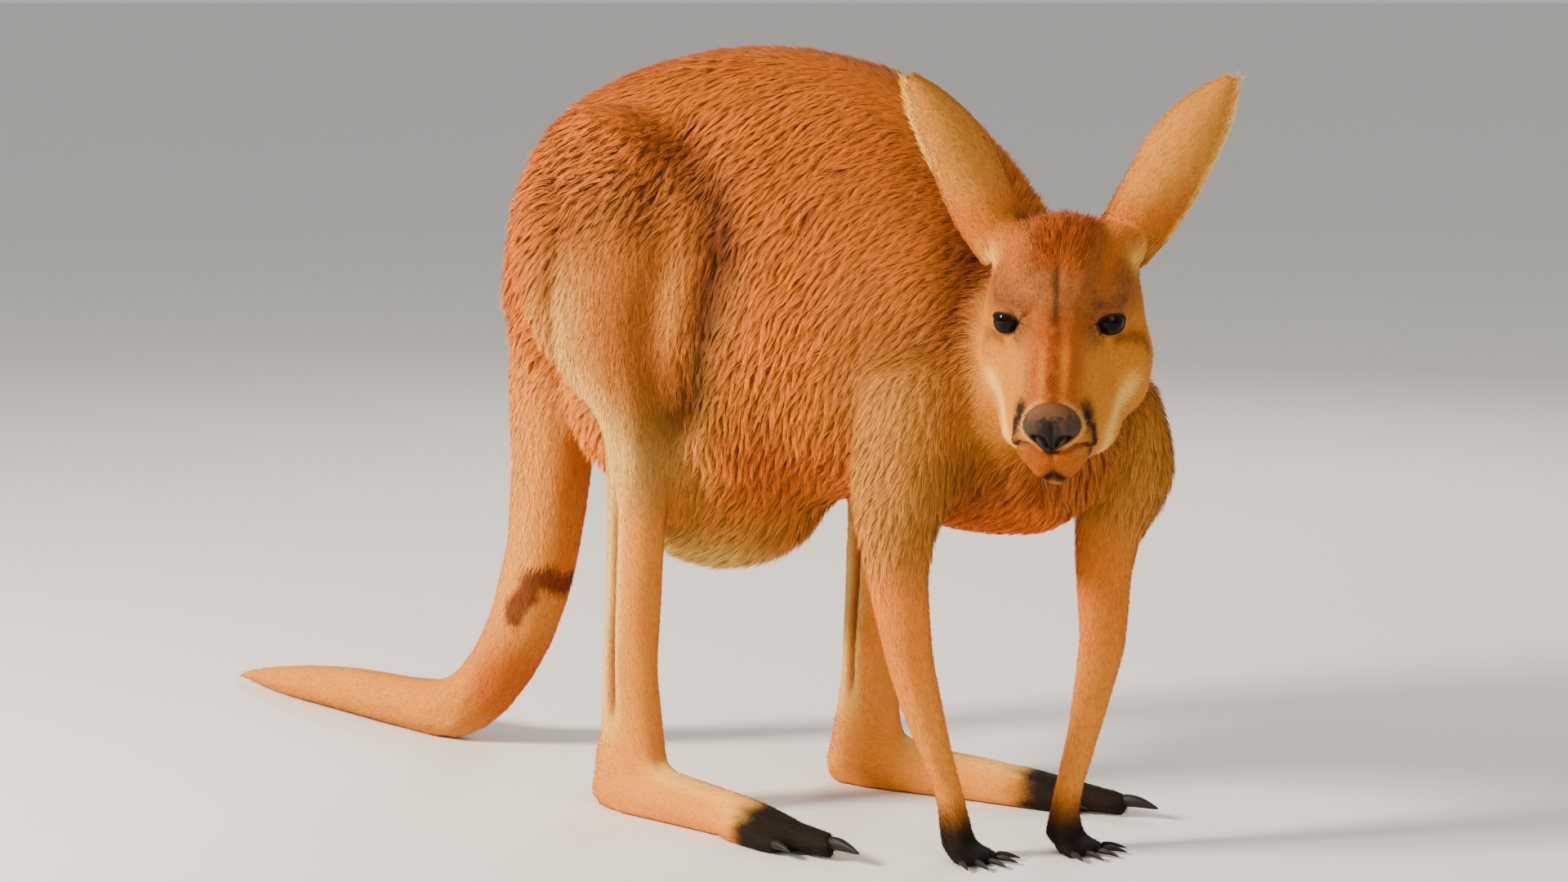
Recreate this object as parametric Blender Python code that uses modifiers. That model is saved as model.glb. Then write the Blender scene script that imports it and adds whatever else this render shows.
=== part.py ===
"""An adult female red kangaroo, life size, feeding on all fours with its head turned to look round.

Metres, +Z up, the animal faces -Y and its left side is +X. The flesh is modelled whole from lofted
masses, fused, and then parted into head, neck, trunk, tail lengths and limb parts by thin gaps.
Eyes, nose pad, ears and claws are pieces of their own, set in sockets of the flesh.
"""
import bpy
import bmesh
import math
import numpy as np
from mathutils import Matrix, Vector

# ------------------------------------------------------------------ driving dimensions

GAP = 0.0004                # clear space between two pieces that meet
LIMB_MARGIN = 0.013         # how far past its own bulk a limb takes the flesh with it
FLESH_VOXEL = 0.0062        # fineness of the fused flesh
FLESH_TRIANGLES = 2320      # facets kept on the whole of the flesh
HIND_FOOT_LENGTH = 0.345    # heel to the tip of the long toe
HAND_LENGTH = 0.078         # heel of the hand to the fingertips

# Trunk, from the root of the tail to the breast: y, height of the widest level, depth above it,
# depth below it, half width, and the lean of the section toward the tail in degrees.
TRUNK = [
    (0.150, 0.440, 0.088, 0.062, 0.066, 66),
    (0.120, 0.486, 0.116, 0.096, 0.080, 46),
    (0.062, 0.505, 0.166, 0.160, 0.100, 27),
    (-0.018, 0.492, 0.213, 0.240, 0.122, 7),
    (-0.110, 0.490, 0.227, 0.246, 0.134, 0),
    (-0.205, 0.485, 0.222, 0.190, 0.131, -3),
    (-0.290, 0.470, 0.210, 0.174, 0.119, -5),
    (-0.362, 0.450, 0.172, 0.168, 0.107, -7),
    (-0.424, 0.425, 0.122, 0.145, 0.097, -9),
    (-0.470, 0.405, 0.086, 0.120, 0.080, -12),
]
POUCH_CENTRE = (0.0, -0.052, 0.302)
POUCH_RADII = (0.090, 0.118, 0.085)
GROIN = (0.0, 0.036, 0.372)              # between the pouch and the root of the tail
GROIN_RADII = (0.074, 0.100, 0.090)
RUMP_TUFT = (0.0, 0.145, 0.448)          # the shaggy overhang round the root of the tail
RUMP_TUFT_RADII = (0.070, 0.074, 0.072)

# Tail, root to tip: x, y, z of its middle, then half width and half depth.
TAIL = [
    (0.000, 0.140, 0.470, 0.058, 0.066),
    (0.000, 0.176, 0.392, 0.047, 0.054),
    (0.000, 0.183, 0.305, 0.042, 0.046),
    (0.000, 0.192, 0.238, 0.039, 0.042),
    (0.000, 0.208, 0.178, 0.037, 0.040),
    (0.000, 0.234, 0.122, 0.035, 0.038),
    (0.000, 0.272, 0.072, 0.033, 0.036),
    (0.000, 0.330, 0.033, 0.032, 0.034),
    (0.004, 0.410, 0.0275, 0.030, 0.0285),
    (0.013, 0.510, 0.0255, 0.0265, 0.0265),
    (0.026, 0.610, 0.0195, 0.0205, 0.0205),
    (0.038, 0.695, 0.0125, 0.0125, 0.0130),
    (0.045, 0.742, 0.0070, 0.0055, 0.0065),
]

# Hind leg from the haunch to the ankle, for a foot that stands under the hip:
# height, y of the middle, half depth, distance out from the midline, half width.
LEG = [
    (0.610, -0.032, 0.086, 0.094, 0.046),
    (0.560, -0.014, 0.110, 0.104, 0.057),
    (0.508, -0.008, 0.108, 0.112, 0.060),
    (0.452, -0.022, 0.084, 0.117, 0.054),
    (0.403, -0.048, 0.052, 0.119, 0.043),
    (0.355, -0.060, 0.036, 0.120, 0.032),
    (0.285, -0.060, 0.030, 0.120, 0.026),
    (0.200, -0.052, 0.029, 0.119, 0.025),
    (0.130, -0.046, 0.030, 0.117, 0.024),
    (0.065, -0.048, 0.036, 0.115, 0.024),
    (0.030, -0.044, 0.038, 0.114, 0.023),
]
# How far each hind foot stands ahead of that, and how far it turns out.
STRIDE = {"right": 0.0, "left": 0.090}
TOE_OUT = {"right": math.radians(3.0), "left": math.radians(11.5)}
STRIDE_FROM, STRIDE_TO = 0.64, 0.27      # heights between which the leg swings forward
HEEL_X, HEEL_Y = 0.113, 0.002

# Hind foot, heel to toes: share of its length, height of its top, half width, side shift.
FOOT = [
    (0.020, 0.036, 0.0170, 0.0),
    (0.090, 0.054, 0.0215, 0.0),
    (0.200, 0.056, 0.0235, 0.0),
    (0.330, 0.047, 0.0220, 0.0),
    (0.500, 0.043, 0.0215, 0.0),
    (0.640, 0.037, 0.0255, 0.001),
    (0.760, 0.029, 0.0215, 0.002),
]
# Toes: name, start and end as shares of the foot, side shift at start and end (+ is outward),
# half width, height, claw length.
TOES = [
    ("fourth", 0.62, 0.915, 0.004, 0.004, 0.0150, 0.033, 0.036),
    ("fifth", 0.56, 0.780, 0.020, 0.030, 0.0095, 0.023, 0.026),
    ("second", 0.62, 0.760, -0.012, -0.016, 0.0052, 0.016, 0.015),
    ("third", 0.64, 0.785, -0.003, -0.008, 0.0052, 0.016, 0.015),
]

# Arms: shoulder, elbow, point below the elbow, wrist; then the half thicknesses on the way.
ARMS = {
    "right": dict(shoulder=(-0.080, -0.372, 0.420), upper=(-0.108, -0.372, 0.335),
                  elbow=(-0.117, -0.374, 0.268), fore=(-0.094, -0.370, 0.180),
                  lower=(-0.072, -0.376, 0.110), wrist=(-0.054, -0.384, 0.052),
                  palm=(-0.052, -0.388, 0.0135), points=(0.06, -1.0)),
    "left": dict(shoulder=(0.090, -0.430, 0.398), upper=(0.119, -0.440, 0.335),
                 elbow=(0.112, -0.424, 0.268), fore=(0.086, -0.443, 0.190),
                 lower=(0.062, -0.445, 0.120), wrist=(0.041, -0.440, 0.056),
                 palm=(0.036, -0.436, 0.0135), points=(0.10, -1.0)),
}
ARM_SIZES = [("shoulder", 0.052, 0.062), ("upper", 0.043, 0.052), ("elbow", 0.0285, 0.0330),
             ("fore", 0.0230, 0.0245), ("lower", 0.0180, 0.0190), ("wrist", 0.0150, 0.0155),
             ("palm", 0.0185, 0.0150)]
FINGERS = 5
FINGER_FAN = math.radians(58)       # whole spread of the fingers
FINGER_CLAW = 0.021

# Head: level between the eyes, turn to the animal's right, downward tilt of the mouth line.
EYES_MIDDLE = Vector((-0.0868, -0.5298, 0.4945))
HEAD_TURN = math.radians(56)
HEAD_TILT = math.radians(24)
# Head sections along the mouth line, from nape to nose: place ahead of the eyes, top, bottom,
# half width, level of the widest part.
HEAD = [
    (-0.105, 0.040, -0.070, 0.047, -0.012),
    (-0.078, 0.062, -0.098, 0.061, -0.015),
    (-0.045, 0.070, -0.116, 0.0685, -0.022),
    (-0.010, 0.061, -0.120, 0.0665, -0.032),
    (0.022, 0.038, -0.118, 0.0515, -0.044),
    (0.055, 0.016, -0.114, 0.047, -0.052),
    (0.084, -0.003, -0.111, 0.0375, -0.058),
    (0.106, -0.016, -0.104, 0.0315, -0.060),
]
EYE_RADIUS = 0.0138
EYE_PLACE = (0.0402, 0.0072, 0.0232)       # out, up, forward of the middle
NOSE_PLACE = (-0.0445, 0.1115)             # up, forward
NOSE_RADII = (0.0240, 0.0222, 0.0140)

# Ears: length, greatest half width, thickness with its fur; base out, up, forward of the eyes.
EAR_LENGTH = 0.164
EAR_HALF_WIDTH = 0.0325
EAR_THICK = 0.0052
EAR_ROOT = -0.06                         # where the ear starts inside the head, as a share of its length
EAR_BASE = (0.0455, 0.040, -0.060)
EAR_LEAN = math.radians(34)              # outward from upright, seen from the front
EAR_BACK = math.radians(8)
EAR_OPENS = {-1: math.radians(140), 1: math.radians(160)}    # turn of each opening from ahead

COLOURS = {                              # base colour, roughness
    "coat": ((0.52, 0.25, 0.10, 1), 0.85),
    "pale_coat": ((0.72, 0.52, 0.32, 1), 0.85),
    "dark_coat": ((0.10, 0.065, 0.045, 1), 0.85),
    "eye": ((0.02, 0.012, 0.01, 1), 0.08),
    "nose": ((0.07, 0.06, 0.055, 1), 0.5),
    "claw": ((0.05, 0.04, 0.035, 1), 0.35),
}

# ------------------------------------------------------------------ scene and helpers

for leftover in list(bpy.data.objects):
    bpy.data.objects.remove(leftover, do_unlink=True)

animal = bpy.data.collections.new("red_kangaroo")
cutters = bpy.data.collections.new("cutters")
bpy.context.scene.collection.children.link(animal)
bpy.context.scene.collection.children.link(cutters)


def material(name):
    """A Principled finish from the table of colours."""
    if name in bpy.data.materials:
        return bpy.data.materials[name]
    made = bpy.data.materials.new(name)
    made.use_nodes = True
    shader = made.node_tree.nodes["Principled BSDF"]
    shader.inputs["Base Color"].default_value = COLOURS[name][0]
    shader.inputs["Roughness"].default_value = COLOURS[name][1]
    made.diffuse_color = COLOURS[name][0]
    return made


def add_object(name, mesh, finish=None, home=None):
    """Put a mesh in the scene under a name."""
    piece = bpy.data.objects.new(name, mesh)
    (home or animal).objects.link(piece)
    if finish:
        own = material(finish).copy()
        own.name = name + "_finish"
        piece.data.materials.clear()
        piece.data.materials.append(own)
    return piece


def applied(piece):
    """The piece with its modifiers made real."""
    bpy.context.view_layer.update()
    shape = bpy.data.meshes.new_from_object(piece.evaluated_get(bpy.context.evaluated_depsgraph_get()))
    piece.modifiers.clear()
    old = piece.data
    piece.data = shape
    bpy.data.meshes.remove(old)
    return piece


def smooth_rows(rows, steps):
    """Catmull-Rom curve through rows of numbers."""
    rows = np.array(rows, float)
    padded = np.vstack([2 * rows[0] - rows[1], rows, 2 * rows[-1] - rows[-2]])
    out = []
    for i in range(1, len(padded) - 2):
        a, b, c, d = padded[i - 1:i + 3]
        for k in range(steps):
            t = k / steps
            out.append(0.5 * (2 * b + (c - a) * t + (2 * a - 5 * b + 4 * c - d) * t ** 2
                              + (3 * b - a - 3 * c + d) * t ** 3))
    out.append(padded[-2])
    return np.array(out)


def loft_mesh(name, middles, across, wide, above, below, sides=20, dome=0.55, up=None):
    """Closed body through egg-shaped rings on a curve, with a rounded end at each end.

    The rings stand square to the curve unless their own upward directions are given.
    """
    middles = np.array(middles, float)
    travel = np.gradient(middles, axis=0)
    if up is not None:
        travel = np.cross(np.array(across, float), up)
    travel /= np.linalg.norm(travel, axis=1)[:, None]
    side = np.array(across, float) - travel * (travel @ np.array(across, float))[:, None]
    side /= np.linalg.norm(side, axis=1)[:, None]
    up = np.cross(travel, side)
    angles = np.linspace(0, 2 * math.pi, sides, endpoint=False)
    rings = []

    def ring(i, shift, shrink):
        height = np.where(np.sin(angles) > 0, above[i], below[i]) * np.sin(angles) * shrink
        return (middles[i] + travel[i] * shift + np.outer(np.cos(angles) * wide[i] * shrink, side[i])
                + np.outer(height, up[i]))

    def ends(i, sign):
        reach = dome * 0.5 * (above[i] + below[i])
        slopes = (35, 66) if sides > 8 else ()
        return [ring(i, sign * reach * math.sin(math.radians(t)), math.cos(math.radians(t))) for t in slopes]

    rings += ends(0, -1)[::-1]
    rings += [ring(i, 0, 1) for i in range(len(middles))]
    rings += ends(len(middles) - 1, 1)
    first = middles[0] - travel[0] * dome * 0.5 * (above[0] + below[0])
    last = middles[-1] + travel[-1] * dome * 0.5 * (above[-1] + below[-1])
    shape = bmesh.new()
    rows = [[shape.verts.new(p) for p in points] for points in rings]
    for low, high in zip(rows, rows[1:]):
        for k in range(sides):
            shape.faces.new((low[k], low[(k + 1) % sides], high[(k + 1) % sides], high[k]))
    for pole, row in ((shape.verts.new(first), rows[0]), (shape.verts.new(last), rows[-1])):
        for k in range(sides):
            shape.faces.new((pole, row[(k + 1) % sides], row[k]) if row is rows[0]
                            else (pole, row[k], row[(k + 1) % sides]))
    bmesh.ops.recalc_face_normals(shape, faces=shape.faces)
    bmesh.ops.triangulate(shape, faces=shape.faces, quad_method="FIXED")
    mesh = bpy.data.meshes.new(name)
    shape.to_mesh(mesh)
    shape.free()
    return mesh


def ball_mesh(name, centre, radii, turn=None, segments=20, rings=12):
    """An ellipsoid."""
    shape = bmesh.new()
    place = Matrix.Translation(centre) @ (turn or Matrix.Identity(4)) @ Matrix.Diagonal((*radii, 1))
    bmesh.ops.create_uvsphere(shape, u_segments=segments, v_segments=rings, radius=1, matrix=place)
    mesh = bpy.data.meshes.new(name)
    shape.to_mesh(mesh)
    shape.free()
    return mesh


def block_mesh(name, low, high, turn=None):
    """A box between two corners, seen in the axes of a turning matrix."""
    shape = bmesh.new()
    middle = [(a + b) / 2 for a, b in zip(low, high)]
    size = [b - a for a, b in zip(low, high)]
    place = (turn or Matrix.Identity(4)) @ Matrix.Translation(middle) @ Matrix.Diagonal((*size, 1))
    bmesh.ops.create_cube(shape, size=1, matrix=place)
    mesh = bpy.data.meshes.new(name)
    shape.to_mesh(mesh)
    shape.free()
    return mesh


def boolean(piece, operation, tool_mesh):
    """Cut or trim a piece with a closed shape."""
    tool = add_object("cutter", tool_mesh, home=cutters)
    tool.hide_render = True
    tool.display_type = "WIRE"
    step = piece.modifiers.new("cut", "BOOLEAN")
    step.operation = operation
    step.solver = "EXACT"
    step.object = tool
    applied(piece)
    bpy.data.objects.remove(tool, do_unlink=True)
    return piece


# ------------------------------------------------------------------ frames of the head

forward = Vector((-math.sin(HEAD_TURN) * math.cos(HEAD_TILT),
                  -math.cos(HEAD_TURN) * math.cos(HEAD_TILT), -math.sin(HEAD_TILT)))
outward = Vector((math.cos(HEAD_TURN), -math.sin(HEAD_TURN), 0))      # to the animal's left
crownward = outward.cross(forward) * -1
crownward = crownward if crownward.z > 0 else -crownward


def on_head(out, up, ahead):
    """A point given from the middle of the eyes in the head's own directions."""
    return EYES_MIDDLE + outward * out + crownward * up + forward * ahead


HEAD_AXES = Matrix((
    (outward.x, crownward.x, forward.x, EYES_MIDDLE.x),
    (outward.y, crownward.y, forward.y, EYES_MIDDLE.y),
    (outward.z, crownward.z, forward.z, EYES_MIDDLE.z),
    (0, 0, 0, 1)))


# ------------------------------------------------------------------ masses of the flesh

def trunk_masses():
    """Back, belly, breast and pouch."""
    rows = smooth_rows(TRUNK, 3)
    middles = np.column_stack([np.zeros(len(rows)), rows[:, 0], rows[:, 1]])
    lean = np.radians(rows[:, 5])
    upward = np.column_stack([np.zeros(len(rows)), np.sin(lean), np.cos(lean)])
    yield loft_mesh("trunk", middles, (1, 0, 0), rows[:, 4], rows[:, 2], rows[:, 3], 28, 0.4, upward)
    yield ball_mesh("pouch", POUCH_CENTRE, POUCH_RADII)
    yield ball_mesh("groin", GROIN, GROIN_RADII)
    yield ball_mesh("rump_tuft", RUMP_TUFT, RUMP_TUFT_RADII)


def tail_masses():
    """The tail, bent where it comes down on the ground."""
    rows = smooth_rows(TAIL, 3)
    yield loft_mesh("tail", rows[:, :3], (1, 0, 0), rows[:, 3], rows[:, 4], rows[:, 4], 18)


def stride_at(side, height):
    """How far forward the leg is swung at a height."""
    share = (STRIDE_FROM - height) / (STRIDE_FROM - STRIDE_TO)
    share = min(max(share, 0), 1)
    return STRIDE[side] * share * share * (3 - 2 * share)


def foot_point(side, along, shift, height):
    """A point of a hind foot: metres from the heel, metres outward, height."""
    sign = -1 if side == "right" else 1
    heading = Vector((sign * math.sin(TOE_OUT[side]), -math.cos(TOE_OUT[side]), 0))
    out = Vector((-heading.y * sign, heading.x * sign, 0))
    heel = Vector((sign * HEEL_X, HEEL_Y - STRIDE[side], 0))
    return heel + heading * along + out * shift + Vector((0, 0, height))


def leg_loft(side, grow=0.0, steps=3, sides=22):
    """The leg from haunch to ankle."""
    sign = -1 if side == "right" else 1
    rows = smooth_rows(LEG, steps)
    middles = [(sign * out, y - stride_at(side, height), height) for height, y, _, out, _ in rows]
    return loft_mesh("leg", middles, (1, 0, 0), rows[:, 4] + grow, rows[:, 2] + grow,
                     rows[:, 2] + grow, sides)


def leg_masses(side):
    """Haunch, shank and long hind foot."""
    sign = -1 if side == "right" else 1
    yield leg_loft(side)
    tendon = [(sign * 0.117, y - stride_at(side, height), height) for y, height in
              ((-0.030, 0.345), (-0.028, 0.280), (-0.022, 0.210), (-0.018, 0.140),
               (-0.016, 0.085), (-0.012, 0.045))]
    thick = [0.018, 0.013, 0.0095, 0.009, 0.010, 0.0145]
    yield loft_mesh("tendon", tendon, (1, 0, 0), thick, thick, thick, 12)
    rows = smooth_rows(FOOT, 3)
    middles = [foot_point(side, share * HIND_FOOT_LENGTH, shift, top * 0.42)
               for share, top, _, shift in rows]
    yield loft_mesh("foot", middles, (1, 0, 0), rows[:, 2], rows[:, 1] * 0.58, rows[:, 1] * 0.58, 16, 0.5)
    for _, start, end, shift_a, shift_b, half, tall, _ in TOES:
        rows = [(start, shift_a, tall * 1.15), ((start + end) / 2, (shift_a + shift_b) / 2, tall),
                (end, shift_b, tall * 0.82)]
        middles = [foot_point(side, share * HIND_FOOT_LENGTH, shift, high * 0.46)
                   for share, shift, high in rows]
        yield loft_mesh("toe", middles, (1, 0, 0), [half * 0.9, half, half * 0.8],
                        [high * 0.52 for _, _, high in rows], [high * 0.52 for _, _, high in rows], 12)


def finger_rays(side):
    """Root and tip of each finger, spread like a fan on the ground."""
    arm = ARMS[side]
    palm = Vector(arm["palm"])
    sign = -1 if side == "right" else 1
    heading = math.atan2(arm["points"][0] * sign, -arm["points"][1])
    for i in range(FINGERS):
        share = i / (FINGERS - 1) - 0.5
        angle = heading + sign * share * FINGER_FAN
        reach = HAND_LENGTH * (0.56 - 0.42 * share * share)
        way = Vector((math.sin(angle), -math.cos(angle), 0))
        root = Vector((palm.x, palm.y, 0.0075)) + way * 0.010 + Vector((sign * share * 0.016, 0, 0))
        yield root, root + way * (reach - 0.012) + Vector((0, 0, -0.0030)), way


def arm_loft(side, grow=0.0, steps=3, sides=18):
    """The arm from shoulder to palm."""
    rows = smooth_rows([(*ARMS[side][place], wide, deep) for place, wide, deep in ARM_SIZES], steps)
    return loft_mesh("arm", rows[:, :3], (1, 0, 0), rows[:, 3] + grow, rows[:, 4] + grow,
                     rows[:, 4] + grow, sides)


def arm_masses(side):
    """Upper arm, forearm and the hand laid flat."""
    yield arm_loft(side)
    for root, tip, _ in finger_rays(side):
        yield loft_mesh("finger", [root, (root + tip) / 2, tip], (1, 0, 0), [0.0078, 0.0072, 0.0062],
                        [0.0095, 0.0082, 0.0068], [0.0095, 0.0082, 0.0068], 10)


def head_masses():
    """Neck, skull with cheeks, brows and muzzle."""
    rows = smooth_rows(HEAD, 3)
    middles = [on_head(0, level, ahead) for ahead, _, _, _, level in rows]
    yield loft_mesh("head", middles, outward, rows[:, 3], rows[:, 1] - rows[:, 4],
                    rows[:, 4] - rows[:, 2], 24, 0.42)
    for sign, cheek in ((-1, 0.0455), (1, 0.0500)):        # the turned head fills its outer cheek
        yield ball_mesh("brow", on_head(sign * 0.040, 0.022, 0.004), (0.018, 0.013, 0.021),
                        HEAD_AXES.to_3x3().to_4x4(), 12, 8)
        yield ball_mesh("cheek", on_head(sign * cheek, -0.050, -0.014), (0.027, 0.051, 0.049),
                        HEAD_AXES.to_3x3().to_4x4(), 14, 10)
        yield ball_mesh("jaw", on_head(sign * 0.029, -0.080, 0.028), (0.0255, 0.030, 0.050),
                        HEAD_AXES.to_3x3().to_4x4(), 14, 10)
        yield ball_mesh("lip", on_head(sign * 0.019, -0.066, 0.096), (0.0165, 0.020, 0.024),
                        HEAD_AXES.to_3x3().to_4x4(), 12, 8)
        yield ball_mesh("ear_root", on_head(sign * 0.046, 0.036, -0.060), (0.026, 0.026, 0.026),
                        HEAD_AXES.to_3x3().to_4x4(), 12, 8)
    nape = on_head(0, -0.012, -0.085)
    neck = [(nape.x, nape.y, nape.z), (-0.020, -0.446, 0.468), (0.0, -0.390, 0.456), (0.0, -0.330, 0.460)]
    yield loft_mesh("neck", smooth_rows(neck, 2), (-1, 0, 0),
                    [0.056, 0.064, 0.073, 0.080, 0.088, 0.092, 0.094],
                    [0.060, 0.070, 0.084, 0.098, 0.112, 0.126, 0.136],
                    [0.082, 0.094, 0.105, 0.112, 0.118, 0.124, 0.130], 22)


def whole_flesh():
    """All masses fused to one skin, eased, thinned to facets and stood flat on the ground."""
    sources = [*trunk_masses(), *tail_masses(), *head_masses()]
    for side in ("right", "left"):
        sources += [*leg_masses(side), *arm_masses(side)]
    joined = bmesh.new()
    for source in sources:
        joined.from_mesh(source)
        bpy.data.meshes.remove(source)
    mesh = bpy.data.meshes.new("flesh")
    joined.to_mesh(mesh)
    joined.free()
    flesh = add_object("flesh", mesh)
    fuse = flesh.modifiers.new("fuse", "REMESH")
    fuse.mode = "VOXEL"
    fuse.voxel_size = FLESH_VOXEL
    ease = flesh.modifiers.new("ease", "SMOOTH")
    ease.factor = 0.5
    ease.iterations = 3
    facets = applied(flesh).data
    facets.calc_loop_triangles()
    thin = flesh.modifiers.new("thin", "DECIMATE")
    thin.ratio = FLESH_TRIANGLES / len(facets.loop_triangles)
    thin.use_collapse_triangulate = True
    applied(flesh)
    boolean(flesh, "INTERSECT", block_mesh("ground", (-1, -2, 0), (1, 2, 2)))
    return flesh


# ------------------------------------------------------------------ pieces set in the flesh

def claw_mesh(name, base, way, length, half, grow=0.0):
    """A pointed claw that curves a little down."""
    down = Vector((0, 0, -1))
    rows = [(-0.05, 0.95, 0.00), (0.45, 0.84, 0.0), (0.97, 0.16, 0.12)]
    middles = [base + way * (length * along) + down * (length * drop) for along, _, drop in rows]
    wide = [half * size * 0.8 + grow for _, size, _ in rows]
    deep = [half * size + grow for _, size, _ in rows]
    across = way.cross(Vector((0, 0, 1)))
    return loft_mesh(name, middles, across, wide, deep, deep, 6, 0.3)


def claws():
    """Every claw: its name, a shape and the same shape a gap larger."""
    for side in ("right", "left"):
        sign = -1 if side == "right" else 1
        for name, _, end, _, shift, half, tall, length in TOES:
            base = foot_point(side, end * HIND_FOOT_LENGTH, shift, tall * 0.50)
            way = (foot_point(side, 1, 0, 0) - foot_point(side, 0, 0, 0)).normalized()
            if name == "fifth":
                way = (way + Vector((sign * 0.12, 0, 0))).normalized()
            yield f"claw_{side}_{name}_toe", base, way, length, half * 0.52
        for i, (_, tip, way) in enumerate(finger_rays(side)):
            base = tip + Vector((0, 0, 0.0010))
            yield f"claw_{side}_finger_{i + 1}", base, way, FINGER_CLAW, 0.0034


def ear_mesh(name, sign, grow=0.0):
    """A long leaf-shaped cup: nearly a tube at the root, opening and narrowing to the tip."""
    lean = math.sin(EAR_LEAN) * sign
    axis = (outward * lean + Vector((0, 0, 1)) * math.cos(EAR_LEAN)
            + Vector((-forward.x, -forward.y, 0)).normalized() * math.sin(EAR_BACK)).normalized()
    level_ahead = Vector((forward.x, forward.y, 0)).normalized()
    opens = level_ahead * math.cos(EAR_OPENS[sign]) + outward * sign * math.sin(EAR_OPENS[sign])
    opens = (opens - axis * opens.dot(axis)).normalized()
    across = axis.cross(opens)
    base = on_head(sign * EAR_BASE[0], EAR_BASE[1], EAR_BASE[2])
    steps, ribs = 7, 5
    start = EAR_ROOT - grow / EAR_LENGTH
    end = 1 + grow / EAR_LENGTH
    shape = bmesh.new()
    rings = []
    for i in range(steps + 1):
        share = start + (end - start) * i / steps
        inner = min(max(share, 0), 1)
        leaf = (0.80 + 1.00 * inner - 0.95 * inner ** 2) * math.sqrt(max(1 - inner ** 3.2, 0.05))
        half = EAR_HALF_WIDTH * min(leaf, 1.0)
        wrap = math.radians(128 - 76 * min(inner / 0.55, 1) ** 0.8)
        bow = half / math.sin(min(wrap, math.pi / 2))
        middle = base + axis * (EAR_LENGTH * share) + opens * (bow * 0.5)
        ring = []
        for face in (1, -1):
            for k in range(ribs + 1):
                place = (2 * k / ribs - 1) * face
                thick = EAR_THICK * (1 - 0.5 * place ** 2) * (1 - 0.35 * inner) + 2 * grow
                turn = place * (wrap + grow / bow)
                radius = bow + face * thick / 2
                ring.append(shape.verts.new(middle + across * (radius * math.sin(turn))
                                            - opens * (radius * math.cos(turn))))
        rings.append(ring)
    around = len(rings[0])
    for low, high in zip(rings, rings[1:]):
        for k in range(around):
            shape.faces.new((low[k], low[(k + 1) % around], high[(k + 1) % around], high[k]))
    for ring in (rings[0], rings[-1]):
        for k in range(ribs):
            shape.faces.new((ring[k], ring[k + 1], ring[2 * ribs - k], ring[2 * ribs + 1 - k]))
    bmesh.ops.recalc_face_normals(shape, faces=shape.faces)
    bmesh.ops.triangulate(shape, faces=shape.faces, quad_method="FIXED")
    mesh = bpy.data.meshes.new(name)
    shape.to_mesh(mesh)
    shape.free()
    return mesh


def set_piece(flesh, name, finish, shape, socket):
    """Place a loose piece and open its socket in the flesh."""
    piece = add_object(name, shape, finish)
    boolean(flesh, "DIFFERENCE", socket)
    return piece


def set_small_pieces(flesh):
    """Eyes, nose pad, ears and claws."""
    turn = HEAD_AXES.to_3x3().to_4x4()
    for side, sign in (("right", -1), ("left", 1)):
        place = on_head(sign * EYE_PLACE[0], EYE_PLACE[1], EYE_PLACE[2])
        set_piece(flesh, f"eye_{side}", "eye",
                  ball_mesh("eye", place, (EYE_RADIUS,) * 3, turn, 12, 8),
                  ball_mesh("socket", place, (EYE_RADIUS + 1.5 * GAP,) * 3, turn, 12, 8))
        set_piece(flesh, f"ear_{side}", "coat", ear_mesh("ear", sign), ear_mesh("socket", sign, 1.5 * GAP))
    place = on_head(0, *NOSE_PLACE)
    set_piece(flesh, "nose_pad", "nose", ball_mesh("nose", place, NOSE_RADII, turn, 12, 8),
              ball_mesh("socket", place, [r + 1.5 * GAP for r in NOSE_RADII], turn, 12, 8))
    for name, base, way, length, half in list(claws()):
        set_piece(flesh, name, "claw", claw_mesh(name, base, way, length, half),
                  claw_mesh("socket", base, way, length, half, GAP))


# ------------------------------------------------------------------ parting the flesh

def keep_largest(piece):
    """Drop slivers that a parting cut leaves loose."""
    shape = bmesh.new()
    shape.from_mesh(piece.data)
    left, islands = set(shape.verts), []
    while left:
        island, edge = set(), [left.pop()]
        while edge:
            vert = edge.pop()
            island.add(vert)
            for link in vert.link_edges:
                other = link.other_vert(vert)
                if other in left:
                    left.remove(other)
                    edge.append(other)
        islands.append(island)
    islands.sort(key=len)
    bmesh.ops.delete(shape, geom=[v for island in islands[:-1] for v in island], context="VERTS")
    shape.to_mesh(piece.data)
    shape.free()


def take(flesh, name, finish, region):
    """Part off all flesh inside a region as a piece of its own, leaving a thin gap."""
    part = add_object(name, flesh.data.copy(), finish)
    boolean(part, "INTERSECT", region(0.0))
    boolean(flesh, "DIFFERENCE", region(GAP))
    keep_largest(part)
    keep_largest(flesh)
    return part


def limb_box(start, toward, radius, length, across=(1, 0, 0)):
    """A region that begins at a joint and runs down a limb."""
    run = (Vector(toward) - Vector(start)).normalized()
    side = (Vector(across) - run * Vector(across).dot(run)).normalized()
    other = run.cross(side)
    axes = Matrix(((side.x, other.x, run.x, start[0]), (side.y, other.y, run.y, start[1]),
                   (side.z, other.z, run.z, start[2]), (0, 0, 0, 1)))

    def region(grow):
        return block_mesh("region", (-radius - grow, -radius - grow, -grow),
                          (radius + grow, radius + grow, length + grow), axes)
    return region


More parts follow.
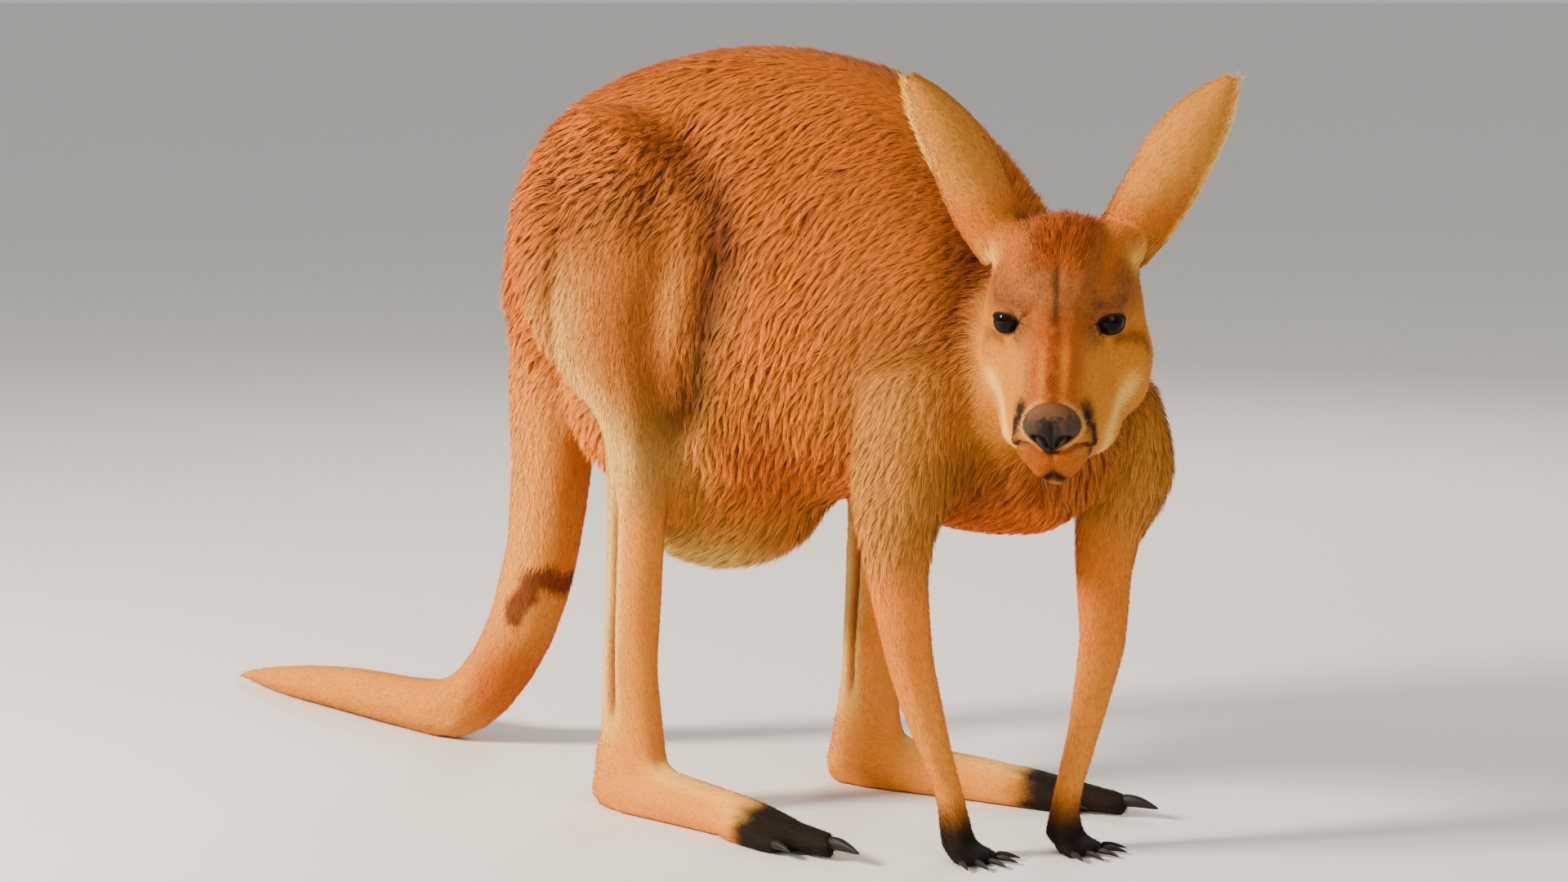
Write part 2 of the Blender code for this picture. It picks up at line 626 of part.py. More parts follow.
def part_limbs(flesh):
    """Hands, forearms, upper arms, feet, shanks and thighs."""
    for side, sign in (("right", -1), ("left", 1)):
        arm = ARMS[side]
        take(flesh, f"hand_{side}", "dark_coat",
             lambda grow, a=arm: block_mesh(
                 "region", (a["wrist"][0] - 0.048 - grow, a["palm"][1] - 0.14, -0.02),
                 (a["wrist"][0] + 0.048 + grow, a["palm"][1] + 0.055 + grow, 0.043 + grow)))
        take(flesh, f"forearm_{side}", "pale_coat",
             limb_box(arm["elbow"], arm["fore"], 0.062, 0.26))
        take(flesh, f"upper_arm_{side}", "coat", lambda grow, s=side: arm_loft(s, LIMB_MARGIN + grow, 1, 9))
        shift = STRIDE[side]
        take(flesh, f"foot_{side}", "pale_coat",
             lambda grow, g=sign, s=shift: block_mesh("region", (g * 0.135 - 0.080 - grow, -0.45 - s, -0.02),
                                                      (g * 0.135 + 0.080 + grow, 0.045 - s, 0.072 + grow)))
        take(flesh, f"shank_{side}", "pale_coat",
             lambda grow, g=sign, s=shift: block_mesh("region", (g * 0.130 - 0.044 - grow, -0.14 - s, 0.05),
                                                      (g * 0.130 + 0.044 + grow, 0.045 - s * 0.8,
                                                       0.300 + grow)))
        take(flesh, f"thigh_{side}", "coat", lambda grow, s=side: leg_loft(s, LIMB_MARGIN + grow, 1, 10))


def part_body(flesh):
    """Tail lengths, head, neck, pouch and the three lengths of the trunk."""
    take(flesh, "tail_tip", "pale_coat",
         lambda grow: block_mesh("region", (-0.1, 0.520 - grow, -0.1), (0.2, 0.9, 0.2)))
    take(flesh, "tail_middle", "pale_coat",
         lambda grow: block_mesh("region", (-0.1, 0.150, -0.1), (0.2, 0.9, 0.165 + grow)))
    take(flesh, "tail_root", "coat",
         lambda grow: block_mesh("region", (-0.075, 0.128 - grow, 0.1), (0.075, 0.4, 0.385 + grow)))
    take(flesh, "head", "coat",
         lambda grow: block_mesh("region", (-0.12 - grow, -0.135 - grow, -0.097 - grow), (0.12, 0.2, 0.3),
                                 HEAD_AXES))
    tilt = Matrix.Translation((0, -0.405, 0.560)) @ Matrix.Rotation(math.radians(26), 4, "X")
    take(flesh, "neck", "coat",
         lambda grow: block_mesh("region", (-0.2, -0.3, -0.205 - grow), (0.2, grow, 0.3), tilt))
    take(flesh, "pouch", "pale_coat",
         lambda grow: ball_mesh("region", (0, -0.058, 0.235),
                                (0.082 + grow, 0.135 + grow, 0.075 + grow), None, 14, 8))
    take(flesh, "breast", "coat",
         lambda grow: block_mesh("region", (-0.3, -0.9, 0), (0.3, -0.290 + grow, 1)))
    tilt = Matrix.Translation((0, 0.030, 0.52)) @ Matrix.Rotation(math.radians(-14), 4, "X")
    take(flesh, "rump", "coat",
         lambda grow: block_mesh("region", (-0.3, -grow, -0.6), (0.3, 0.6, 0.6), tilt))
    flesh.name = "loin"
    own = material("coat").copy()
    own.name = "loin_finish"
    flesh.data.materials.clear()
    flesh.data.materials.append(own)


def centre():
    """Stand the whole animal on the middle of its own outline."""
    corners = np.array([v.co[:] for piece in animal.objects for v in piece.data.vertices])
    low, high = corners.min(axis=0), corners.max(axis=0)
    shift = Matrix.Translation((-(low[0] + high[0]) / 2, -(low[1] + high[1]) / 2, -low[2]))
    for piece in animal.objects:
        piece.data.transform(shift)


flesh = whole_flesh()
set_small_pieces(flesh)
part_limbs(flesh)
part_body(flesh)
centre()
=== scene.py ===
"""A life-size red kangaroo: one skin under its coat, set eyes, nose pad and claws, and a coat of tufts."""
import math
import bmesh
import bpy
import numpy as np
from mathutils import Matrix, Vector
from mathutils.bvhtree import BVHTree


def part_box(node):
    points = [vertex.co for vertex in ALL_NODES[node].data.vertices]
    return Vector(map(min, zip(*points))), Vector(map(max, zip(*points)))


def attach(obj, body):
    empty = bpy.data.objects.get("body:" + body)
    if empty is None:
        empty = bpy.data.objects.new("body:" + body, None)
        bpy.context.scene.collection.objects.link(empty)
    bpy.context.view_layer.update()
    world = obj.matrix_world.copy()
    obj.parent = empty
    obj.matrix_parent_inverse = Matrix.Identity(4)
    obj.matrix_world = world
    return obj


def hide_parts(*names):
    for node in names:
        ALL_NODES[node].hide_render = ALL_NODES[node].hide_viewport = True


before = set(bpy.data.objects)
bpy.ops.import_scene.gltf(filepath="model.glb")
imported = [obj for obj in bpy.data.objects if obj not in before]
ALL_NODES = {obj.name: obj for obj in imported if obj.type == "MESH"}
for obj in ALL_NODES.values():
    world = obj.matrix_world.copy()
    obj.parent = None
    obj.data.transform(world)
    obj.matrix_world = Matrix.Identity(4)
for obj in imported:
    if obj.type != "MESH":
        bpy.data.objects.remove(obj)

# ---------------- working values

SKIN_GRAIN = 0.0052          # fineness of the skin before the face is refined
TOUCHING = 0.0007            # growth that closes the gaps between the flesh pieces
LOOSE = [n for n in ALL_NODES if n.startswith(("claw_", "eye_", "nose_"))]
EARS = ["ear_right", "ear_left"]
FLESH = [n for n in ALL_NODES if n not in LOOSE and n not in EARS]
LOCK_SIZE = 0.0105           # width of a lock of wool
RIDGE_SIZE = 0.034           # width of the long folds that the coat falls into
EYE_BALL = 0.0138            # radius of an eyeball
LID = 0.0011                 # thickness of the lids
LOWEST = 0.0006              # skin and hair end this far above the floor
SIDES = (("right", -1), ("left", 1))
rng = np.random.default_rng(11)


def box_middle(node):
    """Middle of a node's box."""
    low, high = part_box(node)
    return np.array([(a + b) / 2 for a, b in zip(low, high)])


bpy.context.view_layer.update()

# Directions of the head, from the turn and tilt it is carried at.
TURN, TILT = math.radians(56), math.radians(24)
ahead_way = np.array([-math.sin(TURN) * math.cos(TILT), -math.cos(TURN) * math.cos(TILT), -math.sin(TILT)])
out_way = np.array([math.cos(TURN), -math.sin(TURN), 0.0])
up_way = np.cross(ahead_way, out_way)
up_way = up_way if up_way[2] > 0 else -up_way
EYE_UP, EYE_AHEAD = 0.0072, 0.0232
eye_middles = (box_middle("eye_right") + box_middle("eye_left")) / 2
HEAD_MIDDLE = eye_middles - up_way * EYE_UP - ahead_way * EYE_AHEAD


def on_head(out, up, ahead):
    """A place given as out, up and ahead of the middle of the head."""
    return HEAD_MIDDLE + out_way * out + up_way * up + ahead_way * ahead


def in_head(places):
    """Places as out, up and ahead of the middle of the head."""
    return (places - HEAD_MIDDLE) @ np.column_stack([out_way, up_way, ahead_way])


def one_side(places):
    """Places as out, up and ahead, with both sides of the head laid over each other."""
    inside = in_head(places)
    inside[:, 0] = np.abs(inside[:, 0])
    return inside


def from_head(places):
    """Distance from the middle of the head."""
    return np.linalg.norm(places - HEAD_MIDDLE, axis=1)


# ---------------- small tools

def ramp(low, high, value):
    """0 below low, 1 above high, easy between; works with low above high too."""
    share = np.clip((value - low) / (high - low), 0, 1)
    return share * share * (3 - 2 * share)


def bump_at(value, middle, width):
    """A soft bump of height 1."""
    return np.exp(-((value - middle) / width) ** 2)


def runs_of(spots, path):
    """For each run of a path through points: its way, and how each place lies off it."""
    path = np.array(path, float)
    for a, b in zip(path, path[1:]):
        run = b - a
        share = np.clip(((spots - a) @ run) / (run @ run), 0, 1)
        yield run, spots - a - share[:, None] * run


def near_line(spots, path, wide):
    """Closeness, 0 to 1, to a line through points."""
    best = np.full(len(spots), 1.0)
    for run, off in runs_of(spots, path):
        best = np.minimum(best, np.linalg.norm(off, axis=1))
    return np.exp(-(best / wide) ** 2)


def mixed(colours, other, share):
    """Colours moved toward another by a share."""
    return colours + (other - colours) * np.clip(share, 0, 1)[:, None]


def layered(colours, layers):
    """Colours with one marking after another laid over them, each a tint and its share."""
    for over, share in layers:
        colours = mixed(colours, over, share)
    return colours


def hashed(cell, seed=0):
    """A scrambled whole number for each cell of a grid."""
    key = (cell[:, 0] * 73856093) ^ (cell[:, 1] * 19349663) ^ (cell[:, 2] * 83492791) ^ (seed * 2654435)
    return (key ^ (key >> 13)) * 1274126177


def cell_noise(places, size, seed=0):
    """Soft noise from -1 to 1 at a size in metres."""
    grid = np.asarray(places, float) / size + 37.7 * seed
    cell = np.floor(grid).astype(np.int64)
    part = grid - cell
    part = part * part * (3 - 2 * part)
    total = np.zeros(len(grid))
    for step in np.ndindex(2, 2, 2):
        step = np.array(step[::-1])
        value = ((hashed(cell + step, seed) >> 8) & 0xFFFF) / 32767.5 - 1
        total += np.prod(np.where(step == 1, part, 1 - part), axis=1) * value
    return total


def unit(ways):
    """Ways made one long."""
    return ways / np.maximum(np.linalg.norm(ways, axis=-1, keepdims=True), 1e-9)


def along_surface(ways, normals):
    """Ways laid down on the surface."""
    return unit(ways - normals * np.sum(ways * normals, axis=1, keepdims=True))


def only(piece):
    """Select one piece and nothing else."""
    if bpy.context.object and bpy.context.object.mode != "OBJECT":
        bpy.ops.object.mode_set(mode="OBJECT")
    bpy.ops.object.select_all(action="DESELECT")
    piece.select_set(True)
    bpy.context.view_layer.objects.active = piece


def keep_modifier(piece, kind, **settings):
    """Add a modifier and make it real."""
    only(piece)
    step = piece.modifiers.new(kind.lower(), kind)
    for name, value in settings.items():
        setattr(step, name, value)
    bpy.ops.object.modifier_apply(modifier=step.name)


def read_all(items, field, width, kind=np.float32):
    """One field of many mesh items, a row for each."""
    values = np.empty(len(items) * width, kind)
    items.foreach_get(field, values)
    return values.reshape(-1, width)


def write_all(items, field, values, kind=np.float32):
    """Rows of an array into one field of many mesh items."""
    items.foreach_set(field, np.asarray(values, kind).ravel())


def points_of(piece):
    """Vertex places as an array."""
    return read_all(piece.data.vertices, "co", 3).astype(float)


def normals_of(piece):
    """Vertex normals as an array."""
    return read_all(piece.data.vertex_normals, "vector", 3).astype(float)


def edges_of(piece):
    """Vertex pairs of all edges."""
    return read_all(piece.data.edges, "vertices", 2, np.int32)


def put_points(piece, places):
    """Move the vertices of a piece."""
    write_all(piece.data.vertices, "co", places)
    piece.data.update()


def paint(mesh, colours):
    """Keep the tones of a mesh on its vertices."""
    layer = mesh.attributes.new("coat_tone", "FLOAT_COLOR", "POINT")
    write_all(layer.data, "color", np.column_stack([colours, np.ones(len(colours))]))


def eased(values, pairs, rounds, pull=0.5, weight=None):
    """Values of the vertices, evened out along the edges."""
    values = np.array(values, float)
    flat = values.reshape(len(values), -1)
    count = np.bincount(pairs.ravel(), minlength=len(values)).astype(float)[:, None]
    amount = pull if weight is None else pull * weight[:, None]
    for _ in range(rounds):
        total = np.column_stack([
            np.bincount(pairs[:, 0], flat[pairs[:, 1], k], len(values))
            + np.bincount(pairs[:, 1], flat[pairs[:, 0], k], len(values)) for k in range(flat.shape[1])])
        flat = flat + amount * (total / np.maximum(count, 1) - flat)
    return flat.reshape(values.shape)


# ---------------- the skin

def copy_of(name, new_name):
    """A welded copy of a CAD piece, with a mesh of its own."""
    piece = bpy.data.objects.new(new_name, ALL_NODES[name].data.copy())
    bpy.context.scene.collection.objects.link(piece)
    piece.data.materials.clear()
    shape = bmesh.new()
    shape.from_mesh(piece.data)
    bmesh.ops.remove_doubles(shape, verts=shape.verts, dist=1e-6)
    shape.to_mesh(piece.data)
    shape.free()
    return piece


def joined(pieces, name):
    """Several pieces as one."""
    only(pieces[0])
    for piece in pieces:
        piece.select_set(True)
    bpy.ops.object.join()
    bpy.context.object.name = name
    return bpy.context.object


def fused_flesh():
    """All flesh pieces in one, grown to touch and fused, with the sockets of the ears filled."""
    pieces = []
    for name in FLESH + ["eye_right", "eye_left", "nose_pad"]:
        piece = copy_of(name, "flesh_" + name)
        put_points(piece, points_of(piece) + normals_of(piece) * TOUCHING)
        pieces.append(piece)
    for sign in (-1, 1):
        bpy.ops.mesh.primitive_uv_sphere_add(segments=20, ring_count=12, radius=0.022,
                                             location=on_head(sign * 0.045, 0.035, -0.060))
        pieces.append(bpy.context.object)
    skin = joined(pieces, "skin")
    keep_modifier(skin, "REMESH", mode="VOXEL", voxel_size=SKIN_GRAIN)
    return skin


def ease_skin(skin):
    """Take the facets out of the trunk and limbs, and leave hands, feet and face firmer."""
    pairs = edges_of(skin)
    places = points_of(skin)
    near_face = ramp(0.15, 0.11, np.linalg.norm(in_head(places) - [0, -0.04, 0.02], axis=1))
    firm = np.clip(1 - 0.75 * ramp(0.075, 0.045, places[:, 2]) - 0.45 * near_face, 0.15, 1)
    for _ in range(18):
        places = eased(places, pairs, 1, 0.62, firm)
        places = eased(places, pairs, 1, -0.60, firm)
    put_points(skin, eased(places, pairs, 6, 0.5, firm))


def thin_trunk(skin):
    """Fewer, larger faces where long wool will hide the skin."""
    places = points_of(skin)
    woolly = skin.vertex_groups.new(name="woolly")
    chosen = np.nonzero((places[:, 2] > 0.26) & (in_head(places)[:, 2] < -0.13))[0]
    woolly.add([int(i) for i in chosen], 1.0, "REPLACE")
    keep_modifier(skin, "DECIMATE", ratio=0.62, vertex_group="woolly", vertex_group_factor=1.0)
    skin.vertex_groups.clear()


def add_ears(skin):
    """Grow the ears out of the skin."""
    for name in EARS:
        ear = copy_of(name, "skin_" + name)
        keep_modifier(ear, "SUBSURF", levels=2, render_levels=2)
        only(skin)
        union = skin.modifiers.new("ear", "BOOLEAN")
        union.operation = "UNION"
        union.solver = "EXACT"
        union.object = ear
        bpy.ops.object.modifier_apply(modifier="ear")
        bpy.data.objects.remove(ear, do_unlink=True)


def refine(skin, wanted):
    """Halve the faces whose middles a test picks."""
    shape = bmesh.new()
    shape.from_mesh(skin.data)
    middles = np.array([face.calc_center_median()[:] for face in shape.faces])
    chosen = wanted(middles)
    edges = {edge for face, pick in zip(shape.faces, chosen) if pick for edge in face.edges}
    bmesh.ops.subdivide_edges(shape, edges=list(edges), cuts=1, use_grid_fill=True)
    shape.to_mesh(skin.data)
    shape.free()


def on_face(reach):
    """A test for the front of the head out to a reach."""
    def wanted(middles):
        off = (in_head(middles) - [0, -0.035, 0.035]) / [0.085, 0.095, 0.105]
        return np.linalg.norm(off, axis=1) < reach
    return wanted


def by_eyes(middles):
    """A test for the lids."""
    gaps = [np.linalg.norm(middles - box_middle("eye_" + side), axis=1) for side, sign in SIDES]
    return np.minimum(*gaps) < 0.0235


# ---------------- regions of the coat

# For each region: hair length, width and spacing, depth of the coat (mm), lift in degrees,
# bend toward the body, and how woolly it is.
COAT = {
    #             long  wide  apart depth lift bend  wool
    "head":      (6.4,  0.72, 1.46, 1.4,  17,  0.4,  0.10),
    "ear":       (6.5,  0.72, 1.46, 0.4,  14,  0.4,  0.05),
    "neck":      (15.0, 1.08, 1.96, 5.5,  24,  0.5,  0.90),
    "breast":    (11.0, 0.98, 1.90, 4.0,  20,  0.5,  0.70),
    "loin":      (13.0, 1.10, 1.82, 4.5,  19,  0.6,  1.00),
    "rump":      (15.5, 1.20, 1.98, 5.5,  24,  0.5,  1.00),
    "pouch":     (14.0, 1.25, 2.45, 4.0,  20,  0.5,  0.70),
    "tail_root": (8.5,  1.00, 2.10, 2.6,  15,  0.5,  0.28),
    "tail":      (7.5,  0.90, 2.05, 2.0,  15,  0.5,  0.20),
    "upper_arm": (10.5, 0.92, 1.80, 3.8,  22,  0.5,  0.62),
    "forearm":   (6.5,  0.80, 1.85, 1.6,  16,  0.5,  0.12),
    "hand":      (5.5,  0.75, 1.70, 0.8,  20,  0.5,  0.00),
    "thigh":     (8.5,  1.05, 1.92, 3.2,  16,  0.5,  0.26),
    "shank":     (6.0,  0.80, 2.10, 1.4,  15,  0.5,  0.12),
    "foot":      (6.0,  0.80, 2.05, 1.0,  16,  0.5,  0.08),
}
REGIONS = list(COAT)
LONG, WIDE, APART, DEPTH, LIFT, BEND, WOOL = range(7)
COAT_TABLE = np.array([COAT[name] for name in REGIONS])
COAT_TABLE[:, :4] *= 0.001
COAT_TABLE[:, LIFT] = np.radians(COAT_TABLE[:, LIFT])
HEAD, NECK = REGIONS.index("head"), REGIONS.index("neck")


def part_of(shares, *names):
    """How much each place belongs to some regions."""
    return sum(shares[:, REGIONS.index(name)] for name in names)


def region_of(node):
    """Which region of the coat a flesh piece belongs to."""
    for side in ("_right", "_left"):
        node = node.replace(side, "")
    return "tail" if node in ("tail_middle", "tail_tip") else node


def nearest_region(places):
    """The region of each place, by the nearest flesh piece."""
    verts, faces, owners = [], [], []
    for name in FLESH + EARS:
        mesh = ALL_NODES[name].data
        start = len(verts)
        verts += [v.co[:] for v in mesh.vertices]
        for face in mesh.polygons:
            faces.append([start + i for i in face.vertices])
            owners.append(REGIONS.index(region_of(name)))
    tree = BVHTree.FromPolygons(verts, faces)
    return np.array([owners[tree.find_nearest(Vector(p))[2]] for p in places])


# Lines on the animal are given from a point on the floor below its middle.
SETTING = HEAD_MIDDLE - np.array([-0.0868, -0.5298, 0.4945])
TAIL_LINE = np.array([(0.0, 0.140, 0.470), (0.0, 0.183, 0.305), (0.0, 0.208, 0.178), (0.0, 0.234, 0.122),
                      (0.0, 0.272, 0.072), (0.0, 0.330, 0.033), (0.004, 0.410, 0.0275),
                      (0.026, 0.610, 0.0195), (0.045, 0.742, 0.007)]) + SETTING
# The folds in front of and behind the haunch, as (y, z).
HAUNCH_FRONT = [(-0.062, 0.672), (-0.118, 0.622), (-0.158, 0.575), (-0.166, 0.535), (-0.158, 0.495),
                (-0.146, 0.455), (-0.122, 0.386), (-0.100, 0.338)]
HAUNCH_BACK = [(0.032, 0.625), (0.008, 0.570), (0.004, 0.524), (0.012, 0.490), (0.016, 0.450),
               (0.030, 0.405), (0.070, 0.365)]
LEFT_LEG_SHIFT = box_middle("thigh_left")[1] - box_middle("thigh_right")[1]


def beside(places, path):
    """Signed distance from a line drawn on both flanks as (y, z), positive in front of it."""
    spots = (places - SETTING)[:, 1:]
    spots[:, 0] -= LEFT_LEG_SHIFT * ramp(-0.03, 0.03, places[:, 0])
    best, signed = np.full(len(spots), np.inf), np.zeros(len(spots))
    for run, off in runs_of(spots, path):
        gap = np.linalg.norm(off, axis=1)
        front = np.sign(run[1] * off[:, 0] - run[0] * off[:, 1])
        signed = np.where(gap < best, gap * front, signed)
        best = np.minimum(best, gap)
    return signed


def tail_way(places):
    """Direction of the tail beside each place."""
    middles = (TAIL_LINE[1:] + TAIL_LINE[:-1]) / 2
    ways = unit(TAIL_LINE[1:] - TAIL_LINE[:-1])
    weight = 1 / (np.linalg.norm(places[:, None] - middles[None], axis=2) ** 3 + 1e-6)
    return unit(weight @ ways)


def ear_rims(places):
    """Closeness, 0 to 1, to the outer rim of an ear."""
    rims = np.zeros(len(places))
    out, up, ahead = in_head(places).T
    for sign in (-1, 1):
        mine = np.nonzero((out * sign > 0) & (up > 0.03))[0]
        across = out[mine] * sign * 0.83 - up[mine] * 0.56
        step = np.clip(((up[mine] - 0.03) / 0.008).astype(int), 0, 39)
        edge = np.full(40, -1.0)
        np.maximum.at(edge, step, across)
        rims[mine] = ramp(0.0055, 0.0012, edge[step] - across)
    return rims


# Hair that points one way over a whole region, as x, y, z.
EVEN_LIES = {"pouch": (0, 1, -0.1), "neck": (0.25, 0.8, -0.75), "upper_arm": (0, 0.35, -1),
             "forearm": (0, -0.05, -1), "shank": (0, -0.05, -1)}


def lie_of(region, places, normals):
    """Which way the hair points in a region."""
    side = np.abs(normals[:, 0])
    behind = np.clip(normals[:, 1], 0, 1)
    ones = np.ones(len(places))

    def ways(x, y, z):
        return np.column_stack([x * ones, y * ones, z * ones])
    if region in EVEN_LIES:
        return ways(*EVEN_LIES[region])
    if region in ("loin", "breast"):
        down = 0.80 + 2.2 * ramp(-0.38, -0.12, places[:, 1] - SETTING[1])
        return ways(0, 1 - 0.5 * behind, -down * side - 0.9 * behind)
    if region == "rump":
        return ways(0, 0.7, -0.5 * side - 1.2 * behind)
    if region in ("tail_root", "tail"):
        return tail_way(places)
    if region == "thigh":
        return ways(0, 0.25 + 0.5 * ramp(0.5, 0.62, places[:, 2]), -1)
    if region in ("hand", "foot"):
        return ways(0.1 * np.sign(places[:, 0]), -1, -0.25)
    out, up, ahead = in_head(places).T
    if region == "ear":
        return np.outer(np.sign(out) * (0.56 + 0.9 * ear_rims(places)), out_way) + ways(0, 0, 0.83)
    low, top = ramp(-0.02, -0.07, up), ramp(0.02, 0.05, up)
    return (np.outer(-1 + 0.3 * top, ahead_way) + np.outer(np.sign(out) * (0.25 + 0.35 * low), out_way)
            + np.outer(0.35 - 0.9 * low, up_way))


# ---------------- markings, with painted shade and highlights

def tint(red, green, blue):
    """A colour as the eye reads it, 0 to 255, as light."""
    share = np.array([red, green, blue]) / 255
    return np.where(share < 0.04045, share / 12.92, ((share + 0.055) / 1.055) ** 2.4)


RUST = tint(214, 116, 40)
BACK_BROWN = tint(206, 120, 50)
FLANK = tint(212, 116, 36)
LOW_FLANK = tint(206, 122, 40)
CREAM = tint(255, 208, 124)
PALE_TAN = tint(236, 150, 60)
TAN = tint(196, 118, 50)
GREY_BROWN = tint(214, 142, 70)
CHEST = tint(190, 114, 52)
ORANGE = tint(232, 118, 40)
DEEP_RED = tint(112, 44, 22)
# Dark brown for the dark streaks of the face, and for painted shade in folds and grooves, behind the cheeks
# and down the front of the thigh.
SHADE_BROWN = tint(126, 64, 18)
BURNT = tint(190, 84, 16)
RUMP_ORANGE = tint(236, 136, 44)
NEAR_BLACK = tint(27, 18, 14)
FOREHEAD = tint(182, 108, 54)
CHEEK = tint(214, 136, 44)
BRIDGE_ORANGE = tint(188, 92, 8)
BRIDGE_LIGHT = tint(226, 140, 44)
NOSE_RIM = tint(226, 176, 122)
CHIN_ORANGE = tint(194, 104, 18)
CROWN = tint(172, 84, 20)
EAR_TAN = tint(214, 142, 62)
EAR_ROOT = tint(206, 114, 36)
RIM_PALE = tint(248, 190, 98)
LIP_BLACK = tint(34, 27, 24)
PAD_GREY = tint(64, 46, 28)
PAD_BLACK = tint(30, 24, 21)
PAD_BROWN = tint(110, 66, 30)

REGION_TINT = {
    "head": FOREHEAD, "ear": EAR_TAN, "neck": CHEST, "breast": CHEST * 0.6 + FLANK * 0.4, "loin": FLANK,
    "rump": RUST, "pouch": CREAM, "tail_root": PALE_TAN, "tail": PALE_TAN * 0.92, "upper_arm": GREY_BROWN,
    "forearm": PALE_TAN, "hand": NEAR_BLACK, "thigh": TAN, "shank": PALE_TAN, "foot": PALE_TAN}
COAT_DEPTH = 1.16            # hair lying on hair looks deeper than a single hair
COAT_CAST = [0.97, 1.06, 0.92]
# The dark band over the right side of the tail.
TAIL_BAND = [(-0.034, 0.208, 0.146), (-0.033, 0.193, 0.170), (-0.029, 0.178, 0.184), (-0.014, 0.167, 0.185),
             (0.008, 0.167, 0.179)]


def coat_colour(places, normals, shares):
    """The markings, with painted shade and highlights: one rule for skin and hair."""
    x, y, z = places.T

    def share(*names):
        return part_of(shares, *names)
    loin, thigh, foot, forearm = share("loin"), share("thigh"), share("foot"), share("forearm")
    tail = share("tail", "tail_root")
    trunk = share("loin", "breast", "rump", "neck", "pouch")
    under, over, left = (np.clip(way, 0, 1) for way in (-normals[:, 2], normals[:, 2], normals[:, 0]))
    rearward = ramp(-0.35, 0.45, normals[:, 1])
    patches = cell_noise(places, 0.075, 3) * 0.6 + cell_noise(places, 0.030, 4) * 0.4
    low = z + 0.02 * patches
    bend = (ramp(0.15, 0.08, z) * ramp(0.31, 0.25, y - SETTING[1])
            * ramp(0.3, -0.3, normals[:, 2] - left))
    band = near_line(places - SETTING, TAIL_BAND, 0.0135 + 0.006 * cell_noise(places, 0.014, 12))
    layers = [
        (RUST, trunk * (0.75 * over + 0.25 * patches)),
        (BACK_BROWN, trunk * 0.55 * ramp(0.35, 0.9, over + 0.25 * patches)),
        (LOW_FLANK, loin * ramp(0.46, 0.36, low)),
        (BURNT, loin * bump_at(low, 0.335, 0.035) * 0.5),
        # The pouch is pale only low down and at the back; the breast is orange beneath.
        (FLANK, share("pouch") * np.maximum(ramp(0.310, 0.345, low), ramp(-0.15, -0.23, y))),
        (CREAM, share("loin", "rump") * ramp(0.55, 0.90, under) * ramp(-0.16, -0.10, y)),
        (ORANGE, share("breast", "neck") * ramp(0.25, 0.8, under)),
        (PALE_TAN, share("upper_arm") * ramp(0.285, 0.225, low) * 0.8),
        # Painted shade: the neck is darkened close behind the cheeks, where the head shades it.
        (SHADE_BROWN, share("neck") * ramp(0.150, 0.105, from_head(places)) * 0.8),
        # Rust on the crest of the haunch. The back of the thigh is pale, a painted highlight where light
        # from behind falls, and pale low down as its own colour. Painted shade down its front and in a band
        # below the crest.
        (RUST, thigh * ramp(0.55, 0.64, low) * 0.8),
        (CREAM, thigh * np.maximum(rearward, 0.6 * ramp(0.42, 0.34, z)) * ramp(0.56, 0.46, low)),
        (SHADE_BROWN, thigh * ramp(0.15, 0.80, -normals[:, 1]) * 0.45),
        (SHADE_BROWN, thigh * bump_at(low, 0.575, 0.055) * 0.30),
        (CREAM, share("shank") * rearward * 0.9),
        (CREAM, foot * ramp(0.3, 0.9, normals[:, 2]) * 0.5),
        # The rump pales toward the tail. The tail is paler on its right side, a painted highlight where
        # light falls; orange on its left, its own colour deepened as painted shade; burnt under its bend as
        # painted shade; and banded.
        (RUMP_ORANGE, share("rump", "tail_root") * ramp(0.47, 0.40, low) * 0.8),
        (CREAM, tail * ramp(0.2, 0.9, -normals[:, 0]) * 0.25 * ramp(0.10, 0.20, z)),
        (ORANGE, tail * ramp(0.0, 0.8, left) * 0.8),
        (BURNT, share("tail") * bend * 0.70),
        (DEEP_RED, tail * ramp(0.28, 0.55, band) * 0.85)]
    # Black toes, and wrists that darken into the hands.
    ragged = 0.010 * cell_noise(places * [1, 0.35, 1], 0.007, 9) + 0.008 * cell_noise(places, 0.02, 10)
    for side, sign in SIDES:
        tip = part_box("foot_" + side)[0][1]
        toes = ramp(tip + 0.125, tip + 0.088, y + ragged)
        layers.append((NEAR_BLACK, foot * toes * (x * sign > 0) * 0.99))
    layers.append((NEAR_BLACK, forearm * ramp(0.062, 0.038, z) * 0.5))
    layers.append((ORANGE, forearm * ramp(0.12, 0.22, z) * 0.35))
    tones = layered(shares @ np.array([REGION_TINT[name] for name in REGIONS]), layers)
    tones = face_colour(places, tones, share("head"), share("ear"))
    return np.clip(tones * COAT_CAST, 0.002, 1) ** COAT_DEPTH


WHISKERS = [(0.0262, -0.030, 0.098), (0.0300, -0.045, 0.101), (0.0325, -0.057, 0.102),
            (0.0325, -0.070, 0.104)]
CHEEK_STRIPE = [(0.057, -0.050, 0.024), (0.050, -0.064, 0.046), (0.044, -0.076, 0.062),
                (0.041, -0.092, 0.064)]
TEAR_LINE = [(0.050, -0.008, 0.028), (0.062, -0.014, 0.012), (0.070, -0.022, 0.002), (0.072, -0.034, 0.000)]
BROW_LINE = [(0.030, 0.027, 0.036), (0.042, 0.025, 0.026), (0.056, 0.019, 0.008)]


def ear_tuft(both):
    """Closeness to the pale tuft below each ear."""
    return np.exp(-np.sum(((both - [0.062, 0.027, -0.044]) / 0.013) ** 2, axis=1))


